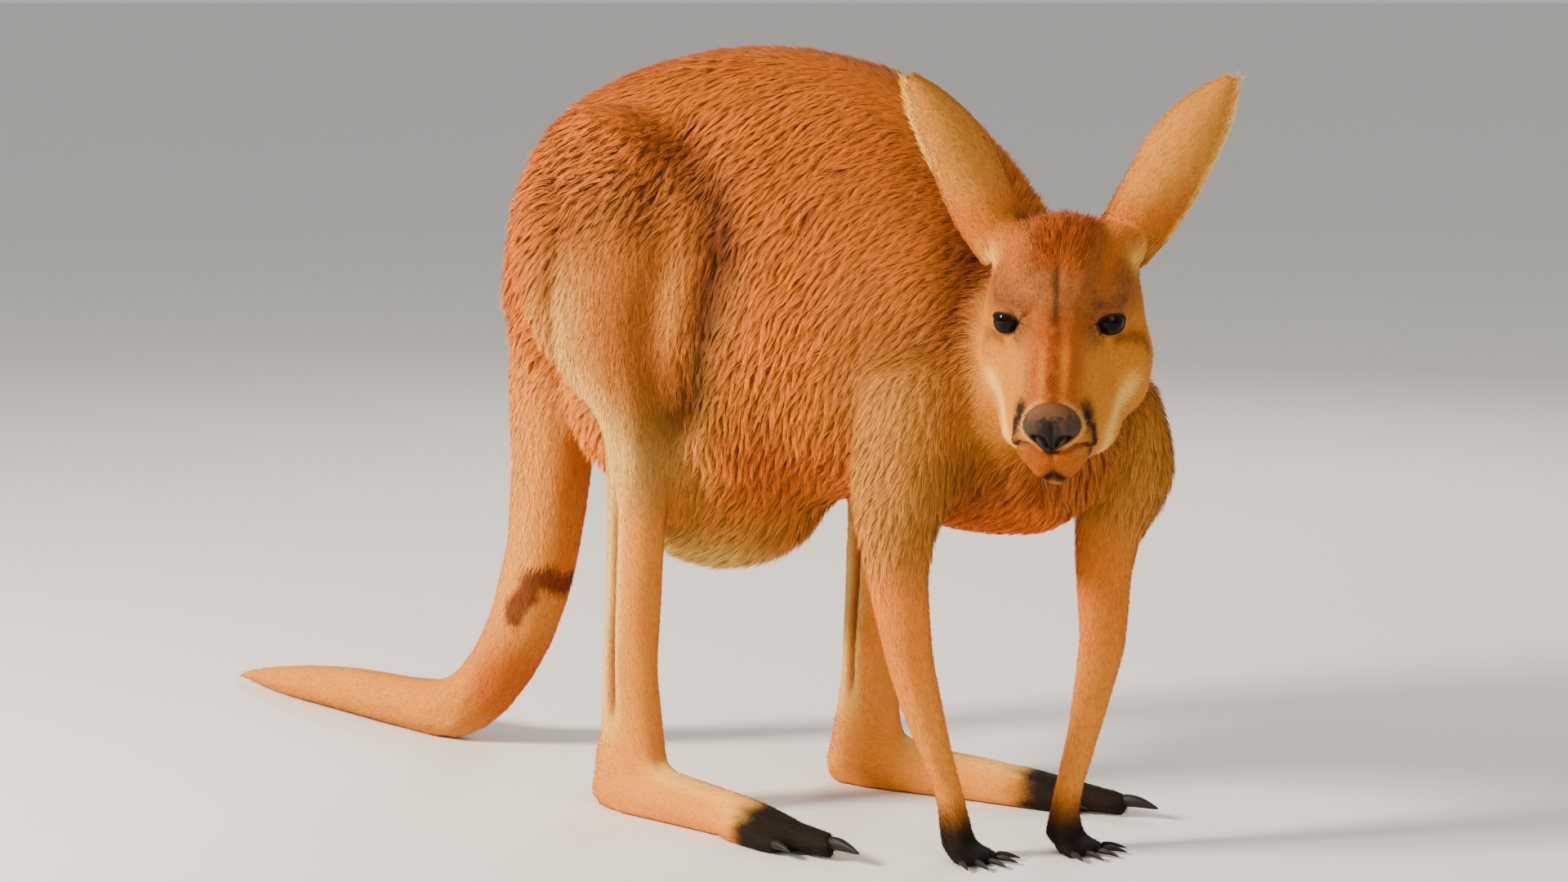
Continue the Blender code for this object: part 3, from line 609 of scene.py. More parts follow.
def face_colour(places, tones, head, ear):
    """Markings of the face and ears."""
    both = one_side(places)
    away, up, ahead = both.T
    rough = cell_noise(places, 0.010, 5)
    fine = cell_noise(places, 0.0045, 6)
    edge = pad_distance(places)
    front = head * ramp(-0.065, -0.020, ahead + 0.4 * np.clip(-0.02 - up, 0, 1) + 0.004 * rough)
    brows = ramp(0.006, 0.020, up) * ramp(0.070, 0.050, up)
    bridge = ramp(0.026, 0.012, away + 0.002 * rough) * ramp(0.034, 0.014, up - 0.10 * away)
    streak = bump_at(away, 0.001, 0.0050) * ramp(0.040, 0.056, ahead) * (0.55 + 0.45 * fine)
    flank = bump_at(away, 0.0095, 0.0035) * ramp(0.060, 0.080, ahead) * ramp(-0.026, -0.010, up)
    crown = ramp(0.046, 0.058, up + 0.003 * rough) * ramp(0.034, 0.020, away + 0.004 * rough)
    middle = bump_at(away, 0, 0.0024) * ramp(0.058, 0.048, up) * ramp(0.010, 0.030, up)
    whisker = near_line(both, WHISKERS, 0.0086) * (0.80 + 0.35 * fine) * ramp(-0.020, -0.038, up)
    rim = bump_at(edge, 1.10, 0.075) * ramp(0.003, 0.012, away) * (ahead > 0.09)
    chin = ramp(0.036, 0.020, away) * ramp(-0.062, -0.070, up) * ramp(0.070, 0.090, ahead)
    return layered(tones, (
        (FOREHEAD * 0.55, front * (0.42 + 0.30 * fine + 0.20 * rough) * brows),
        # Sides of the muzzle and cheeks, then the orange bridge with its dark streak.
        (CHEEK, front * ramp(0.014, 0.034, away) * ramp(0.012, -0.012, up)),
        (BRIDGE_ORANGE, front * bridge * (0.85 + 0.15 * fine)),
        (SHADE_BROWN * 0.8, front * streak * 0.85),
        (BRIDGE_LIGHT, front * flank * 0.6),
        (CREAM, front * near_line(both, CHEEK_STRIPE, 0.0095) * 0.75),
        (CROWN, head * crown * 0.9),
        (CROWN * 0.35, head * crown * ramp(0.05, 0.60, fine) * 0.9),
        (NEAR_BLACK, front * middle * 0.65),
        (FOREHEAD * 0.30, front * near_line(both, BROW_LINE, 0.0048) * (0.60 + 0.25 * fine)),
        (SHADE_BROWN * 0.9, front * near_line(both, TEAR_LINE, 0.0068) * (0.80 + 0.20 * fine)),
        # Whisker pads, the rim of the nose, its socket, the chin and the mouth.
        (LIP_BLACK, front * np.clip(whisker * 1.45, 0, 0.96)),
        (NOSE_RIM, front * rim * 0.62 * ramp(-0.066, -0.060, up)),
        (LIP_BLACK, (ahead > 0.085) * ramp(1.02, 0.94, edge) * (up < -0.030)),
        (CHIN_ORANGE, front * chin * 0.9),
        (CREAM, front * chin * bump_at(up, -0.106, 0.008) * 0.5),
        (LIP_BLACK, front * np.clip(near_line(both, CHIN_MARK, 0.0042) * 1.3, 0, 0.95)),
        (LIP_BLACK, front * near_line(both, PHILTRUM, 0.0016) * 0.7),
        # Ears: orange at the root, pale along the outer rims, and a pale tuft below each.
        (EAR_ROOT, ear * ramp(0.095, 0.050, up + 0.004 * rough) * 0.85),
        (EAR_ROOT, head * ramp(0.030, 0.044, up) * ramp(0.030, 0.040, away) * 0.7),
        (RIM_PALE, ear * ear_rims(places) * 0.95),
        (RIM_PALE, (head + ear) * ear_tuft(both) * 0.9)))


# ---------------- folds of the face

INNER_CORNER = [(0.0285, 0.0060, 0.0420), (0.0320, 0.0080, 0.0380)]
OUTER_CORNER = [(0.0547, 0.0074, 0.0216), (0.0615, 0.0085, 0.0110)]


def eye_axes(sign):
    """Middle of an eyeball, where it looks, and the ways to its outer corner and its brow."""
    middle = box_middle("eye_left" if sign > 0 else "eye_right")
    look = unit(out_way * sign * 0.50 + up_way * 0.13 + ahead_way * 0.86)
    corner = unit(out_way * sign * 0.84 - ahead_way * 0.50 - up_way * 0.07)
    corner = unit(corner - look * (corner @ look))
    brow = np.cross(look, corner)
    return middle, look, corner, brow if brow @ up_way > 0 else -brow


INNER_WIDE, OUTER_WIDE = math.radians(62), math.radians(66)
OPEN_ABOVE, OPEN_BELOW = math.radians(33), math.radians(31)


def lid_edge(across, above):
    """Angle of the lid's edge over an angle across the eye, inner corner negative."""
    reach = np.where(across < 0, INNER_WIDE, OUTER_WIDE)
    share = np.clip(1 - (np.abs(across) / reach) ** np.where(across < 0, 3.0, 1.9), 0, 1)
    return (OPEN_ABOVE if above else -OPEN_BELOW) * share ** (0.80 if above else 0.78)


def past_lid(places, sign):
    """Angle past the opening between the lids (negative inside it), rise over the eye, and reach."""
    middle, look, corner, brow = eye_axes(sign)
    off = places - middle
    reach = np.linalg.norm(off, axis=1)
    way = off / np.maximum(reach, 1e-6)[:, None]
    across = np.arctan2(way @ corner, np.maximum(way @ look, 0.02))
    rise = np.arcsin(np.clip(way @ brow, -1, 1))
    past = np.maximum(rise - lid_edge(across, True), lid_edge(across, False) - rise)
    beyond = np.maximum(-INNER_WIDE - across, across - OUTER_WIDE)
    past = np.where(beyond > 0, np.hypot(beyond, rise), past)
    past = np.where(way @ look < -0.1, 2.0, past)
    return past, rise, reach, way


def set_lids(places):
    """Wrap the skin over the eyeballs, open it between the lids and lay the folds round them."""
    for sign in (-1, 1):
        middle = eye_axes(sign)[0]
        past, rise, reach, way = past_lid(places, sign)
        near = np.nonzero((reach < 0.040) & (past < 1.5))[0]
        past, rise, reach, way = past[near], rise[near], reach[near], way[near]
        lid = EYE_BALL - 0.0032 + (0.0032 + LID) * ramp(-0.06, 0.05, past)
        lid += 0.0006 * bump_at(past, 0.13, 0.07) * (rise > 0)
        fold = (bump_at(past, 0.40, 0.09) * (rise > 0) * 0.0007
                + bump_at(past, 0.34, 0.08) * (rise < 0) * 0.0008)
        own = ramp(0.16, 0.78, past)
        target = np.maximum(lid * (1 - own) + reach * own - fold,
                            np.where(past > 0.05, EYE_BALL + LID * 0.9, 0))
        places[near] = middle + way * target[:, None]
    return places


def lid_darkness(places):
    """The black rims of the lids, with the line drawn out past the outer corner."""
    dark = np.zeros(len(places))
    for sign in (-1, 1):
        past, rise, reach, way = past_lid(places, sign)
        close = ramp(EYE_BALL + 0.0060, EYE_BALL + 0.0030, reach)
        rim = ramp(np.where(rise > 0, 0.20, 0.14), np.where(rise > 0, 0.11, 0.07), past) * close
        dark = np.maximum(dark, rim)
    for corner in (INNER_CORNER, OUTER_CORNER):
        dark = np.maximum(dark, 0.9 * near_line(one_side(places), corner, 0.0020))
    return dark


MOUTH = [(0.0, -0.0665, 0.1210), (0.008, -0.0625, 0.1215), (0.018, -0.0585, 0.1175),
         (0.0275, -0.0590, 0.1110), (0.0320, -0.0680, 0.1050), (0.036, -0.0760, 0.0850)]
PHILTRUM = [(0.0, -0.0640, 0.1220), (0.0, -0.0870, 0.1165)]
CHIN_MARK = [(0.0, -0.0860, 0.1165), (0.0060, -0.0925, 0.1115), (0.0115, -0.0985, 0.1040)]


PAD_MIDDLE, PAD_SIZE = np.array([0, -0.0455, 0.1115]), np.array([0.0240, 0.0232, 0.0150])
# Soft swellings and hollows on both sides of the head: place and size as out, up, ahead, and height.
MOUNDS = [
    ((0.044, 0.028, 0.014), (0.019, 0.009, 0.016), 0.0034),        # brow
    ((0.024, 0.024, 0.036), (0.008, 0.012, 0.014), 0.0014),        # brow, toward the middle
    ((0.030, -0.010, 0.046), (0.008, 0.016, 0.018), -0.0022),      # tear hollow
    ((0.046, -0.028, 0.036), (0.014, 0.014, 0.020), -0.0026),      # hollow of the cheek
    ((0.0, 0.048, 0.028), (0.0045, 0.018, 0.024), -0.0020),        # middle of the forehead
    ((0.022, 0.046, 0.016), (0.014, 0.012, 0.018), 0.0024),        # forehead
    ((0.014, 0.004, 0.075), (0.006, 0.030, 0.030), 0.0012),        # ridges of the bridge
    ((0.027, -0.058, 0.100), (0.008, 0.014, 0.012), 0.0034),       # whisker pad
    ((0.0, -0.096, 0.108), (0.014, 0.010, 0.012), 0.0034),         # chin
]
# Lines pressed into the face or raised on it: path, width and height.
FACE_LINES = [
    (MOUTH, 0.0022, -0.0036),
    (np.array(MOUTH) + [0, 0.0060, 0.0005], 0.0042, 0.0014),       # upper lip
    (PHILTRUM, 0.0018, -0.0022),
    (CHIN_MARK, 0.0026, -0.0024),
]


def pad_taper(high):
    """Width of the nose pad at a height from -1 to 1, against its full width."""
    return 0.42 + 0.58 * ramp(-1.10, 0.15, high)


def pad_distance(places):
    """Distance from the middle of the nose pad, 1 at its edge."""
    off = (in_head(places) - PAD_MIDDLE) / PAD_SIZE
    off[:, 0] /= pad_taper(off[:, 1])
    return np.linalg.norm(off, axis=1)


def shape_face(places, normals):
    """Brows, hollows, whisker pads, mouth line, chin and nose socket."""
    both = one_side(places)
    raised = sum(height * np.exp(-np.sum(((both - spot) / size) ** 2, axis=1))
                 for spot, size, height in MOUNDS)
    places = places + normals * raised[:, None]
    both = one_side(places)
    for path, wide, height in FACE_LINES:
        places = places + normals * (near_line(both, path, wide) * height)[:, None]
    socket = ramp(1.02, 0.80, pad_distance(places)) * (in_head(places)[:, 2] > 0.090)
    return places - np.outer(socket * 0.0115, ahead_way)


def locks_at(spots, lies, sides, size, rows=0.0):
    """The lock each place belongs to: place along it, across it, and a number of its own.

    Where rows is near 1 the locks stand side by side in rows across the lie.
    """
    home = np.floor(spots / size).astype(np.int64)
    best = np.full(len(spots), np.inf)
    along, across, own = np.zeros((3, len(spots)))
    for step in np.ndindex(3, 3, 3):
        cell = home + np.array(step) - 1
        key = hashed(cell)
        place = np.column_stack([(key >> 5) & 1023, (key >> 15) & 1023, (key >> 25) & 1023]) / 1023
        off = spots - (cell + 0.1 + 0.8 * place) * size
        a, c = np.sum(off * lies, axis=1), np.sum(off * sides, axis=1)
        gap = (c * c * (1 - 0.80 * rows) + a * a * (0.16 + 0.95 * rows)
               + 0.20 * (np.sum(off * off, axis=1) - a * a - c * c))
        nearer = gap < best
        best = np.where(nearer, gap, best)
        along, across = np.where(nearer, a, along), np.where(nearer, c, across)
        own = np.where(nearer, ((key >> 8) & 0xFFFF) / 65535, own)
    return along / size, across / size, own


def lock_tone_and_shade(along, across, own, wool, rows=0.0):
    """Painted shade between the locks and under the next one's tips, with a random tone of each lock's own.
    """
    tips = 0.46 * along.clip(-1, 1) * (1 - rows) + 1.7 * rows * along.clip(-0.45, 0.45)
    return np.clip(1 + wool * (tips - 3.0 * across.clip(-0.6, 0.6) ** 2 + 0.30 * (own - 0.5)), 0.22, 1.6)


def ridge_tone_and_shade(spots, lies, sides, folded):
    """Painted shade where the coat's long folds part, with a random tone of each fold's own."""
    along, across, own = locks_at(spots, lies, sides, RIDGE_SIZE)
    parting = ramp(0.26, 0.46, np.abs(across)) * ramp(0.9, 0.3, np.abs(along))
    return 1 - folded * (0.58 * parting - 0.16 * (own - 0.4))


def tendon_groove(places, normals, shank):
    """Depth of the hollow between shin and heel tendon, on both faces of each shank."""
    depth = np.zeros(len(places))
    for side, sign in SIDES:
        mine = np.nonzero((shank > 0.3) & (places[:, 0] * sign > 0))[0]
        y, z = places[mine, 1], places[mine, 2]
        step = (z / 0.012).astype(int).clip(0, 59)
        low, high = np.full(60, 9.0), np.full(60, -9.0)
        np.minimum.at(low, step, y)
        np.maximum.at(high, step, y)
        share = (y - low[step]) / np.maximum(high[step] - low[step], 0.01)
        faced = np.abs(normals[mine, 0])
        depth[mine] = 0.0066 * bump_at(share, 0.62, 0.11) * faced * shank[mine] * ramp(0.07, 0.11, z)
    return depth


# ---------------- the making of the skin

skin = fused_flesh()
ease_skin(skin)
thin_trunk(skin)
add_ears(skin)
refine(skin, on_face(1.0))
refine(skin, lambda middles: on_face(0.92)(middles) & (in_head(middles)[:, 2] > -0.005))
refine(skin, by_eyes)

pairs = edges_of(skin)
places = points_of(skin)
nearest = nearest_region(places)
# The haunch is bounded by its own folds, in front toward the flank and behind toward the rump.
height = places[:, 2] - SETTING[2]
before, past_back = beside(places, HAUNCH_FRONT), beside(places, HAUNCH_BACK)
outer = ((np.abs(places[:, 0]) > 0.05) & (height > 0.350)
         & np.isin(nearest, [REGIONS.index(name) for name in ("thigh", "loin", "rump")]))
for name, here in (("loin", (before > 0) & (height < 0.662)),
                   ("thigh", (before <= 0) & (past_back > 0) & (height < 0.640)),
                   ("rump", (past_back <= 0) & (height < 0.625))):
    nearest[outer & here] = REGIONS.index(name)
shares = np.eye(len(REGIONS))[nearest]
places = eased(places, pairs, 3, 0.5, (1 - part_of(shares, "ear")) * ramp(0.20, 0.12, from_head(places)))
put_points(skin, places)
both = one_side(places)
face_share = ramp(-0.075, -0.045, both[:, 2]) * ramp(0.088, 0.077, both[:, 0]) * shares[:, HEAD]
shares[:, NECK] += shares[:, HEAD] - face_share
shares[:, HEAD] = face_share
# Regions run into each other broadly on trunk and limbs, and narrowly on the face, hands and feet.
broadly = ramp(0.13, 0.17, from_head(places)) * ramp(0.05, 0.09, places[:, 2])
shares = eased(eased(shares, pairs, 10, 0.6), pairs, 40, 0.6, 0.12 + 0.88 * broadly)
normals = normals_of(skin)

# Rows of curls on the crest of the haunch; the back is sleek and the hair under the breast is short.
coat = shares @ COAT_TABLE
crest_rise = places[:, 2] + 0.02 * cell_noise(places, 0.06, 31)
crest = np.clip(part_of(shares, "thigh") + 0.6 * part_of(shares, "rump"), 0, 1)
crest = crest * ramp(0.50, 0.58, crest_rise) * ramp(0.74, 0.68, crest_rise) * 0.9
coat[:, WOOL] = np.minimum(coat[:, WOOL] + 0.60 * crest, 1)
coat[:, LONG] *= 1 + 0.40 * crest
coat[:, WOOL] *= 1 - 0.50 * ramp(0.45, 0.95, normals[:, 2])
coat[:, LONG] *= 1 - 0.50 * (part_of(shares, "breast", "neck") * ramp(0.35, 0.8, -normals[:, 2]))
flank_side = ramp(0.20, 0.55, np.abs(normals[:, 0])) * ramp(0.07, 0.09, np.abs(places[:, 0]))


def along_fold(gap, middle, wide, start, end):
    """Closeness to a fold of the flank, between heights given as where it fades in and out."""
    return bump_at(gap, middle, wide) * flank_side * ramp(*start, height) * ramp(*end, height)


crease = along_fold(before, 0, 0.0150, (0.34, 0.38), (0.675, 0.63))
rump_edge = along_fold(past_back, 0, 0.0110, (0.37, 0.41), (0.63, 0.59))
shaded = along_fold(before, 0.006, 0.030, (0.33, 0.40), (0.66, 0.56))
arm_edge = np.clip(part_of(shares, "upper_arm") * part_of(shares, "breast", "neck") * 4, 0, 1)
groove = tendon_groove(places, normals, part_of(shares, "shank"))
sunken = 0.013 * crease + 0.006 * rump_edge + 0.004 * arm_edge + groove
places = places - normals * (coat[:, DEPTH] + TOUCHING + sunken)[:, None]
places = set_lids(shape_face(places, normals))
places[:, 2] = np.maximum(places[:, 2], LOWEST)
put_points(skin, places)
normals = normals_of(skin)

lie = np.zeros_like(places)
for index, region in enumerate(REGIONS):
    here = shares[:, index] > 0.02
    ways = unit(lie_of(region, places[here], normals[here]))
    lie[here] += along_surface(ways, normals[here]) * shares[here, index, None]
lie = along_surface(eased(lie, pairs, 12, 0.6), normals)
gap_noise = 0.8 + 0.2 * cell_noise(places, 0.02, 14)
# Painted shade in the folds in front of and behind the haunch, on the flank before the front fold, where the
# upper arm meets the breast, and in the tendon grooves of the shanks.
tones = layered(coat_colour(places, normals, shares), (
    (SHADE_BROWN * 0.35, (0.90 * crease + 0.50 * rump_edge) * gap_noise),
    (SHADE_BROWN * 0.42, shaded * 0.92 * gap_noise),
    (SHADE_BROWN * 0.8, arm_edge * 0.5 * gap_noise),
    (SHADE_BROWN, groove * 160)))

# The skin between the tufts carries the same markings, with painted shade: darker where the wool is deep,
# between the locks and where the long folds part.
wool, side = coat[:, WOOL], np.cross(normals, lie)
folded = np.clip(wool - 0.5, 0, 0.5) * 2 * ramp(0.95, 0.6, normals[:, 2])
shade = (0.94 - 0.50 * wool) * lock_tone_and_shade(*locks_at(places, lie, side, LOCK_SIZE, crest), wool, crest)
shade = shade * ridge_tone_and_shade(places, lie, side, folded)
both = one_side(places)
mouth_skin = near_line(both, MOUTH, 0.0027) * ramp(0.0, 0.05, both[:, 2])
paint(skin.data, mixed(tones * shade[:, None], LIP_BLACK, np.maximum(lid_darkness(places), mouth_skin)))

only(skin)
bpy.ops.object.mode_set(mode="EDIT")
bpy.ops.mesh.select_all(action="SELECT")
bpy.ops.uv.smart_project(angle_limit=1.15, island_margin=0.001)
bpy.ops.object.mode_set(mode="OBJECT")
skin.data.uv_layers.active.name = "OFBake"
bpy.ops.object.shade_smooth()


# ---------------- the coat

# Pieces of the coat, and the regions each covers.
COAT_PIECES = {
    "coat_face": ("head",), "coat_ears": ("ear",), "coat_neck": ("neck", "breast"), "coat_flanks": ("loin",),
    "coat_rump": ("rump", "tail_root"), "coat_belly": ("pouch",), "coat_upper_arms": ("upper_arm",),
    "coat_forearms": ("forearm", "hand"), "coat_thighs": ("thigh",), "coat_shanks": ("shank", "foot"),
    "coat_tail": ("tail",)}
SHORT_HAIRED = ("coat_face", "coat_ears", "coat_forearms", "coat_shanks", "coat_tail")
LONG_LOCK = 0.0205           # hair longer than this is bent at the middle
MOST_TUFTS = {"": 49500, "_locks": 19500}
FEWEST_TUFTS = 40            # fewer make no piece of their own
ROOT_SHAPE = ((-0.5, -0.12), (0.5, -0.12), (0.0, 0.5))       # across and up, in widths and thicknesses


def skin_faces():
    """The skin as loose triangles: corners, and where each lies on the unwrap."""
    mesh = skin.data
    mesh.calc_loop_triangles()
    corners = read_all(mesh.loop_triangles, "vertices", 3, np.int32)
    loops = read_all(mesh.loop_triangles, "loops", 3, np.int32)
    return corners, read_all(mesh.uv_layers["OFBake"].data, "uv", 2)[loops]


faces, unwrap = skin_faces()


def bare(spots):
    """Where no hair grows: eyes, nose pad, mouth line and soles."""
    free = spots[:, 2] < 0.0022
    for sign in (-1, 1):
        past, rise, reach, way = past_lid(spots, sign)
        free |= (past < 0.13) & (reach < EYE_BALL + 0.005)
    both = one_side(spots)
    free |= pad_distance(spots) < np.where(both[:, 1] > -0.034, 0.90, 0.98)
    return free | (near_line(both, MOUTH, 0.0022) > 0.36)


def scatter_roots():
    """Root places over the whole skin, as many as the coat is close."""
    a, b, c = (places[faces[:, k]] for k in range(3))
    face_area = 0.5 * np.linalg.norm(np.cross(b - a, c - a), axis=1)
    wanted = face_area / coat[:, APART][faces].mean(axis=1) ** 2
    number = np.floor(wanted + rng.random(len(wanted))).astype(int)
    face = np.repeat(np.arange(len(faces)), number)
    a, b = rng.random(len(face)), rng.random(len(face))
    over = a + b > 1
    a[over], b[over] = 1 - a[over], 1 - b[over]
    return face, np.column_stack([1 - a - b, a, b])


def at_roots(values, face, mix):
    """Vertex values at the roots."""
    flat = values.reshape(len(values), -1)
    return np.einsum("nk,nkc->nc", mix, flat[faces[face]]).reshape(-1, *values.shape[1:])


def tuft_triangles(rings):
    """Corner numbers of one tuft: the root's face, the sides below the bend, and the point."""
    tris = [(0, 2, 1)]
    for low in range(0, 3 * (rings - 1), 3):
        for k in range(3):
            n = (k + 1) % 3
            tris += [(low + k, low + n, low + 3 + n), (low + k, low + 3 + n, low + 3 + k)]
    top = 3 * (rings - 1)
    return np.array(tris + [(top + k, top + (k + 1) % 3, rings * 3) for k in range(3)])


def lay_coat(name, tufts, rings, crisp):
    """A mesh of closed tufts: a flat three-sided root, a bend where there are two rings, and a point."""
    count, per = len(tufts["start"]), rings * 3 + 1
    side, wide = tufts["side"], tufts["wide"]
    up = unit(np.cross(side, tufts["heading"]))
    thick = wide * 0.55
    corners = np.zeros((count, per, 3))
    patch = np.zeros((count, per, 2))
    patch[:, :] = tufts["spot"][:, None]
    for k, (across, high) in enumerate(ROOT_SHAPE):
        corners[:, k] = tufts["start"] + side * (wide * across)[:, None] + up * (thick * high)[:, None]
        offset = np.array([math.cos(2.1 * k), math.sin(2.1 * k)]) * 0.0015
        patch[:, k] += offset
        if rings == 2:
            corners[:, 3 + k] = (tufts["knee"] + side * (wide * 0.86 * across)[:, None]
                                 + up * (thick * 0.9 * high)[:, None])
            patch[:, 3 + k] += offset * 0.6
    corners[:, -1] = tufts["tip"]
    tris = tuft_triangles(rings)
    faces_all = (tris[None] + (np.arange(count) * per)[:, None, None]).reshape(-1, 3)
    mesh = bpy.data.meshes.new(name)
    mesh.vertices.add(count * per)
    mesh.loops.add(len(faces_all) * 3)
    mesh.polygons.add(len(faces_all))
    write_all(mesh.vertices, "co", corners)
    write_all(mesh.loops, "vertex_index", faces_all, np.int32)
    write_all(mesh.polygons, "loop_start", np.arange(0, len(faces_all) * 3, 3), np.int32)
    write_all(mesh.polygons, "use_smooth", np.ones(len(faces_all)), bool)
    write_all(mesh.uv_layers.new(name="OFBake").data, "uv", patch.reshape(-1, 2)[faces_all.ravel()])
    # Painted shade: each tuft darkens from its tip down to its root.
    share = np.array([0.0] * 3 + [0.5] * 3 * (rings - 1) + [1.0])[None, :, None]
    shaded_root_tone, tip_tone = tufts["shaded_root_tone"][:, None], tufts["tip_tone"][:, None]
    paint(mesh, (shaded_root_tone + (tip_tone - shaded_root_tone) * share).reshape(-1, 3))
    mesh.update()
    # Upper faces are shaded with the rounding of their lock, so that hairs melt into one coat.
    triangles = corners.reshape(-1, 3)[faces_all]
    own = unit(np.cross(triangles[:, 1] - triangles[:, 0], triangles[:, 2] - triangles[:, 0]))
    soft = unit(crisp * own + (1 - crisp) * np.repeat(tufts["shading"], len(tris), axis=0))
    facing_up = np.sum(own * soft, axis=1) > 0.15
    mesh.normals_split_custom_set(np.repeat(np.where(facing_up[:, None], soft, own), 3, axis=0))
    piece = bpy.data.objects.new(name, mesh)
    bpy.context.scene.collection.objects.link(piece)
    return piece


def shape_tufts():
    """Every tuft of the animal: its shape and tones, its region and whether it is bent."""
    face, mix = scatter_roots()
    keep = ~bare(at_roots(places, face, mix))
    face, mix = face[keep], mix[keep]
    roots, values, rows = (at_roots(value, face, mix) for value in (places, coat, crest))
    facing = unit(at_roots(normals, face, mix))
    lies = along_surface(at_roots(lie, face, mix), facing)
    side = np.cross(facing, lies)
    wool, fine, count = values[:, WOOL], fineness(roots), len(roots)

    def varied(spread):
        return 1 + spread * rng.normal(size=count).clip(-2, 2)

    # The wool lies in waves and in locks that taper, lift at their tips and part in dark gaps.
    wave = cell_noise(roots * [1, 1, 0.45], 0.030, 21)
    along, across, own = locks_at(roots, lies, side, LOCK_SIZE, rows)
    along, across = along.clip(-1.2, 1.2), across.clip(-0.7, 0.7)
    sway = (cell_noise(roots, 0.030, 22) * 0.40 * wool + (own - 0.5) * 0.75 * wool
            + rng.normal(0, 0.10 - 0.03 * wool, count))
    length = values[:, LONG] * varied(0.18 - 0.08 * wool) * (1 + 0.14 * along * wool)
    length = length * fine
    lift = (values[:, LIFT] * varied(0.25 - 0.13 * wool)
            * (1 + (0.45 * along + 0.25 * wave + 0.5 * (own - 0.5)) * wool))
    lift = np.clip(lift, 0.06, 0.95)
    heading = unit(lies + side * (sway - 0.40 * across * wool)[:, None])

    def raised(angle):
        return heading * np.cos(angle)[:, None] + facing * np.sin(angle)[:, None]

    sunk = np.minimum(0.0012, 0.11 * length)
    swell = 0.0026 * wool * np.clip(1 - (across / 0.55) ** 2, 0, 1) * (0.6 + 0.5 * along.clip(-1, 1))
    swell = swell + 0.0050 * rows * wool * (along.clip(-0.45, 0.45) + 0.3)
    start = roots + facing * (swell - sunk)[:, None]
    knee = start + raised(lift) * (length * 0.5 + sunk)[:, None]
    tip = (knee + raised(lift * (1 - values[:, BEND])) * (length * 0.5)[:, None]
           - side * (across * LOCK_SIZE * 0.42 * wool)[:, None])
    for ends in (tip, knee):
        ends[:, 2] = np.maximum(ends[:, 2], LOWEST)
    # Painted shade: tufts are darker between the locks, under the next lock's tips and where the folds part,
    # beside a random tone of their own.
    shade = varied(0.19 - 0.15 * wool) * lock_tone_and_shade(along, across, own, wool, rows)
    shade = shade * ridge_tone_and_shade(roots, lies, side, at_roots(folded, face, mix))
    tone = at_roots(tones, face, mix)
    tufts = {
        "start": start, "heading": heading, "knee": knee, "tip": tip, "side": side,
        "shaded_root_tone": tone * (shade * (0.78 - 0.14 * wool))[:, None],
        "tip_tone": np.clip(tone * (shade * (1.12 - 0.04 * wool))[:, None], 0, 1),
        "spot": np.einsum("nk,nkc->nc", mix, unwrap[face]),
        "wide": values[:, WIDE] * (0.8 + 0.4 * rng.random(count)) * np.sqrt(fine),
        "shading": unit(facing + side * (1.45 * across * wool)[:, None]
                        + lies * ((0.05 + 0.75 * along) * wool)[:, None])}
    order = roots[:, 1] + 0.3 * roots[:, 2]
    return tufts, order, at_roots(shares, face, mix).argmax(axis=1), length > LONG_LOCK


def grow_coat():
    """The coat in pieces by region, short hair apart from bent locks."""
    tufts, order, region, bent = shape_tufts()
    made = []
    for name, names in COAT_PIECES.items():
        here = np.isin(region, [REGIONS.index(n) for n in names])
        for kind, rings, pick in (("", 1, here & ~bent), ("_locks", 2, here & bent)):
            chosen = np.nonzero(pick)[0]
            parts = max(1, math.ceil(len(chosen) / MOST_TUFTS[kind]))
            chosen = chosen[np.argsort(order[chosen])]
            for k, mine in enumerate(np.array_split(chosen, parts)):
                if len(mine) < FEWEST_TUFTS:
                    continue
                label = name + kind + (f"_{k + 1}" if parts > 1 else "")
                part = {field: values[mine] for field, values in tufts.items()}
                made.append(lay_coat(label, part, rings, 0.42 if name in SHORT_HAIRED else 0.20))
    return made


def fineness(roots):
    """Hair shortens toward the eyes, nose and mouth, and lengthens on the crown and the rims of the ears."""
    both = one_side(roots)
    away, up, ahead = both.T
    in_face = ramp(0.155, 0.125, np.linalg.norm(in_head(roots) - [0, -0.03, 0.02], axis=1))
    short = 0.55 + 0.45 * ramp(0.07, -0.02, ahead)
    for side, sign in SIDES:
        gap = np.linalg.norm(roots - eye_axes(sign)[0], axis=1) - EYE_BALL
        short = np.minimum(short, 0.30 + 0.70 * ramp(0.001, 0.018, gap))
    crown = ramp(0.046, 0.060, up) * ramp(0.045, 0.020, away) * in_face
    on_ear = (up > 0.055) & (away > 0.035) & (ahead < -0.02) & (in_face < 1)
    longer = 1.5 * crown + ear_tuft(both) + 0.8 * on_ear * ear_rims(roots)
    return (1 + (short - 1) * in_face) * (1 + longer)


coat_pieces = grow_coat()


# ---------------- eyes, nose pad and claws

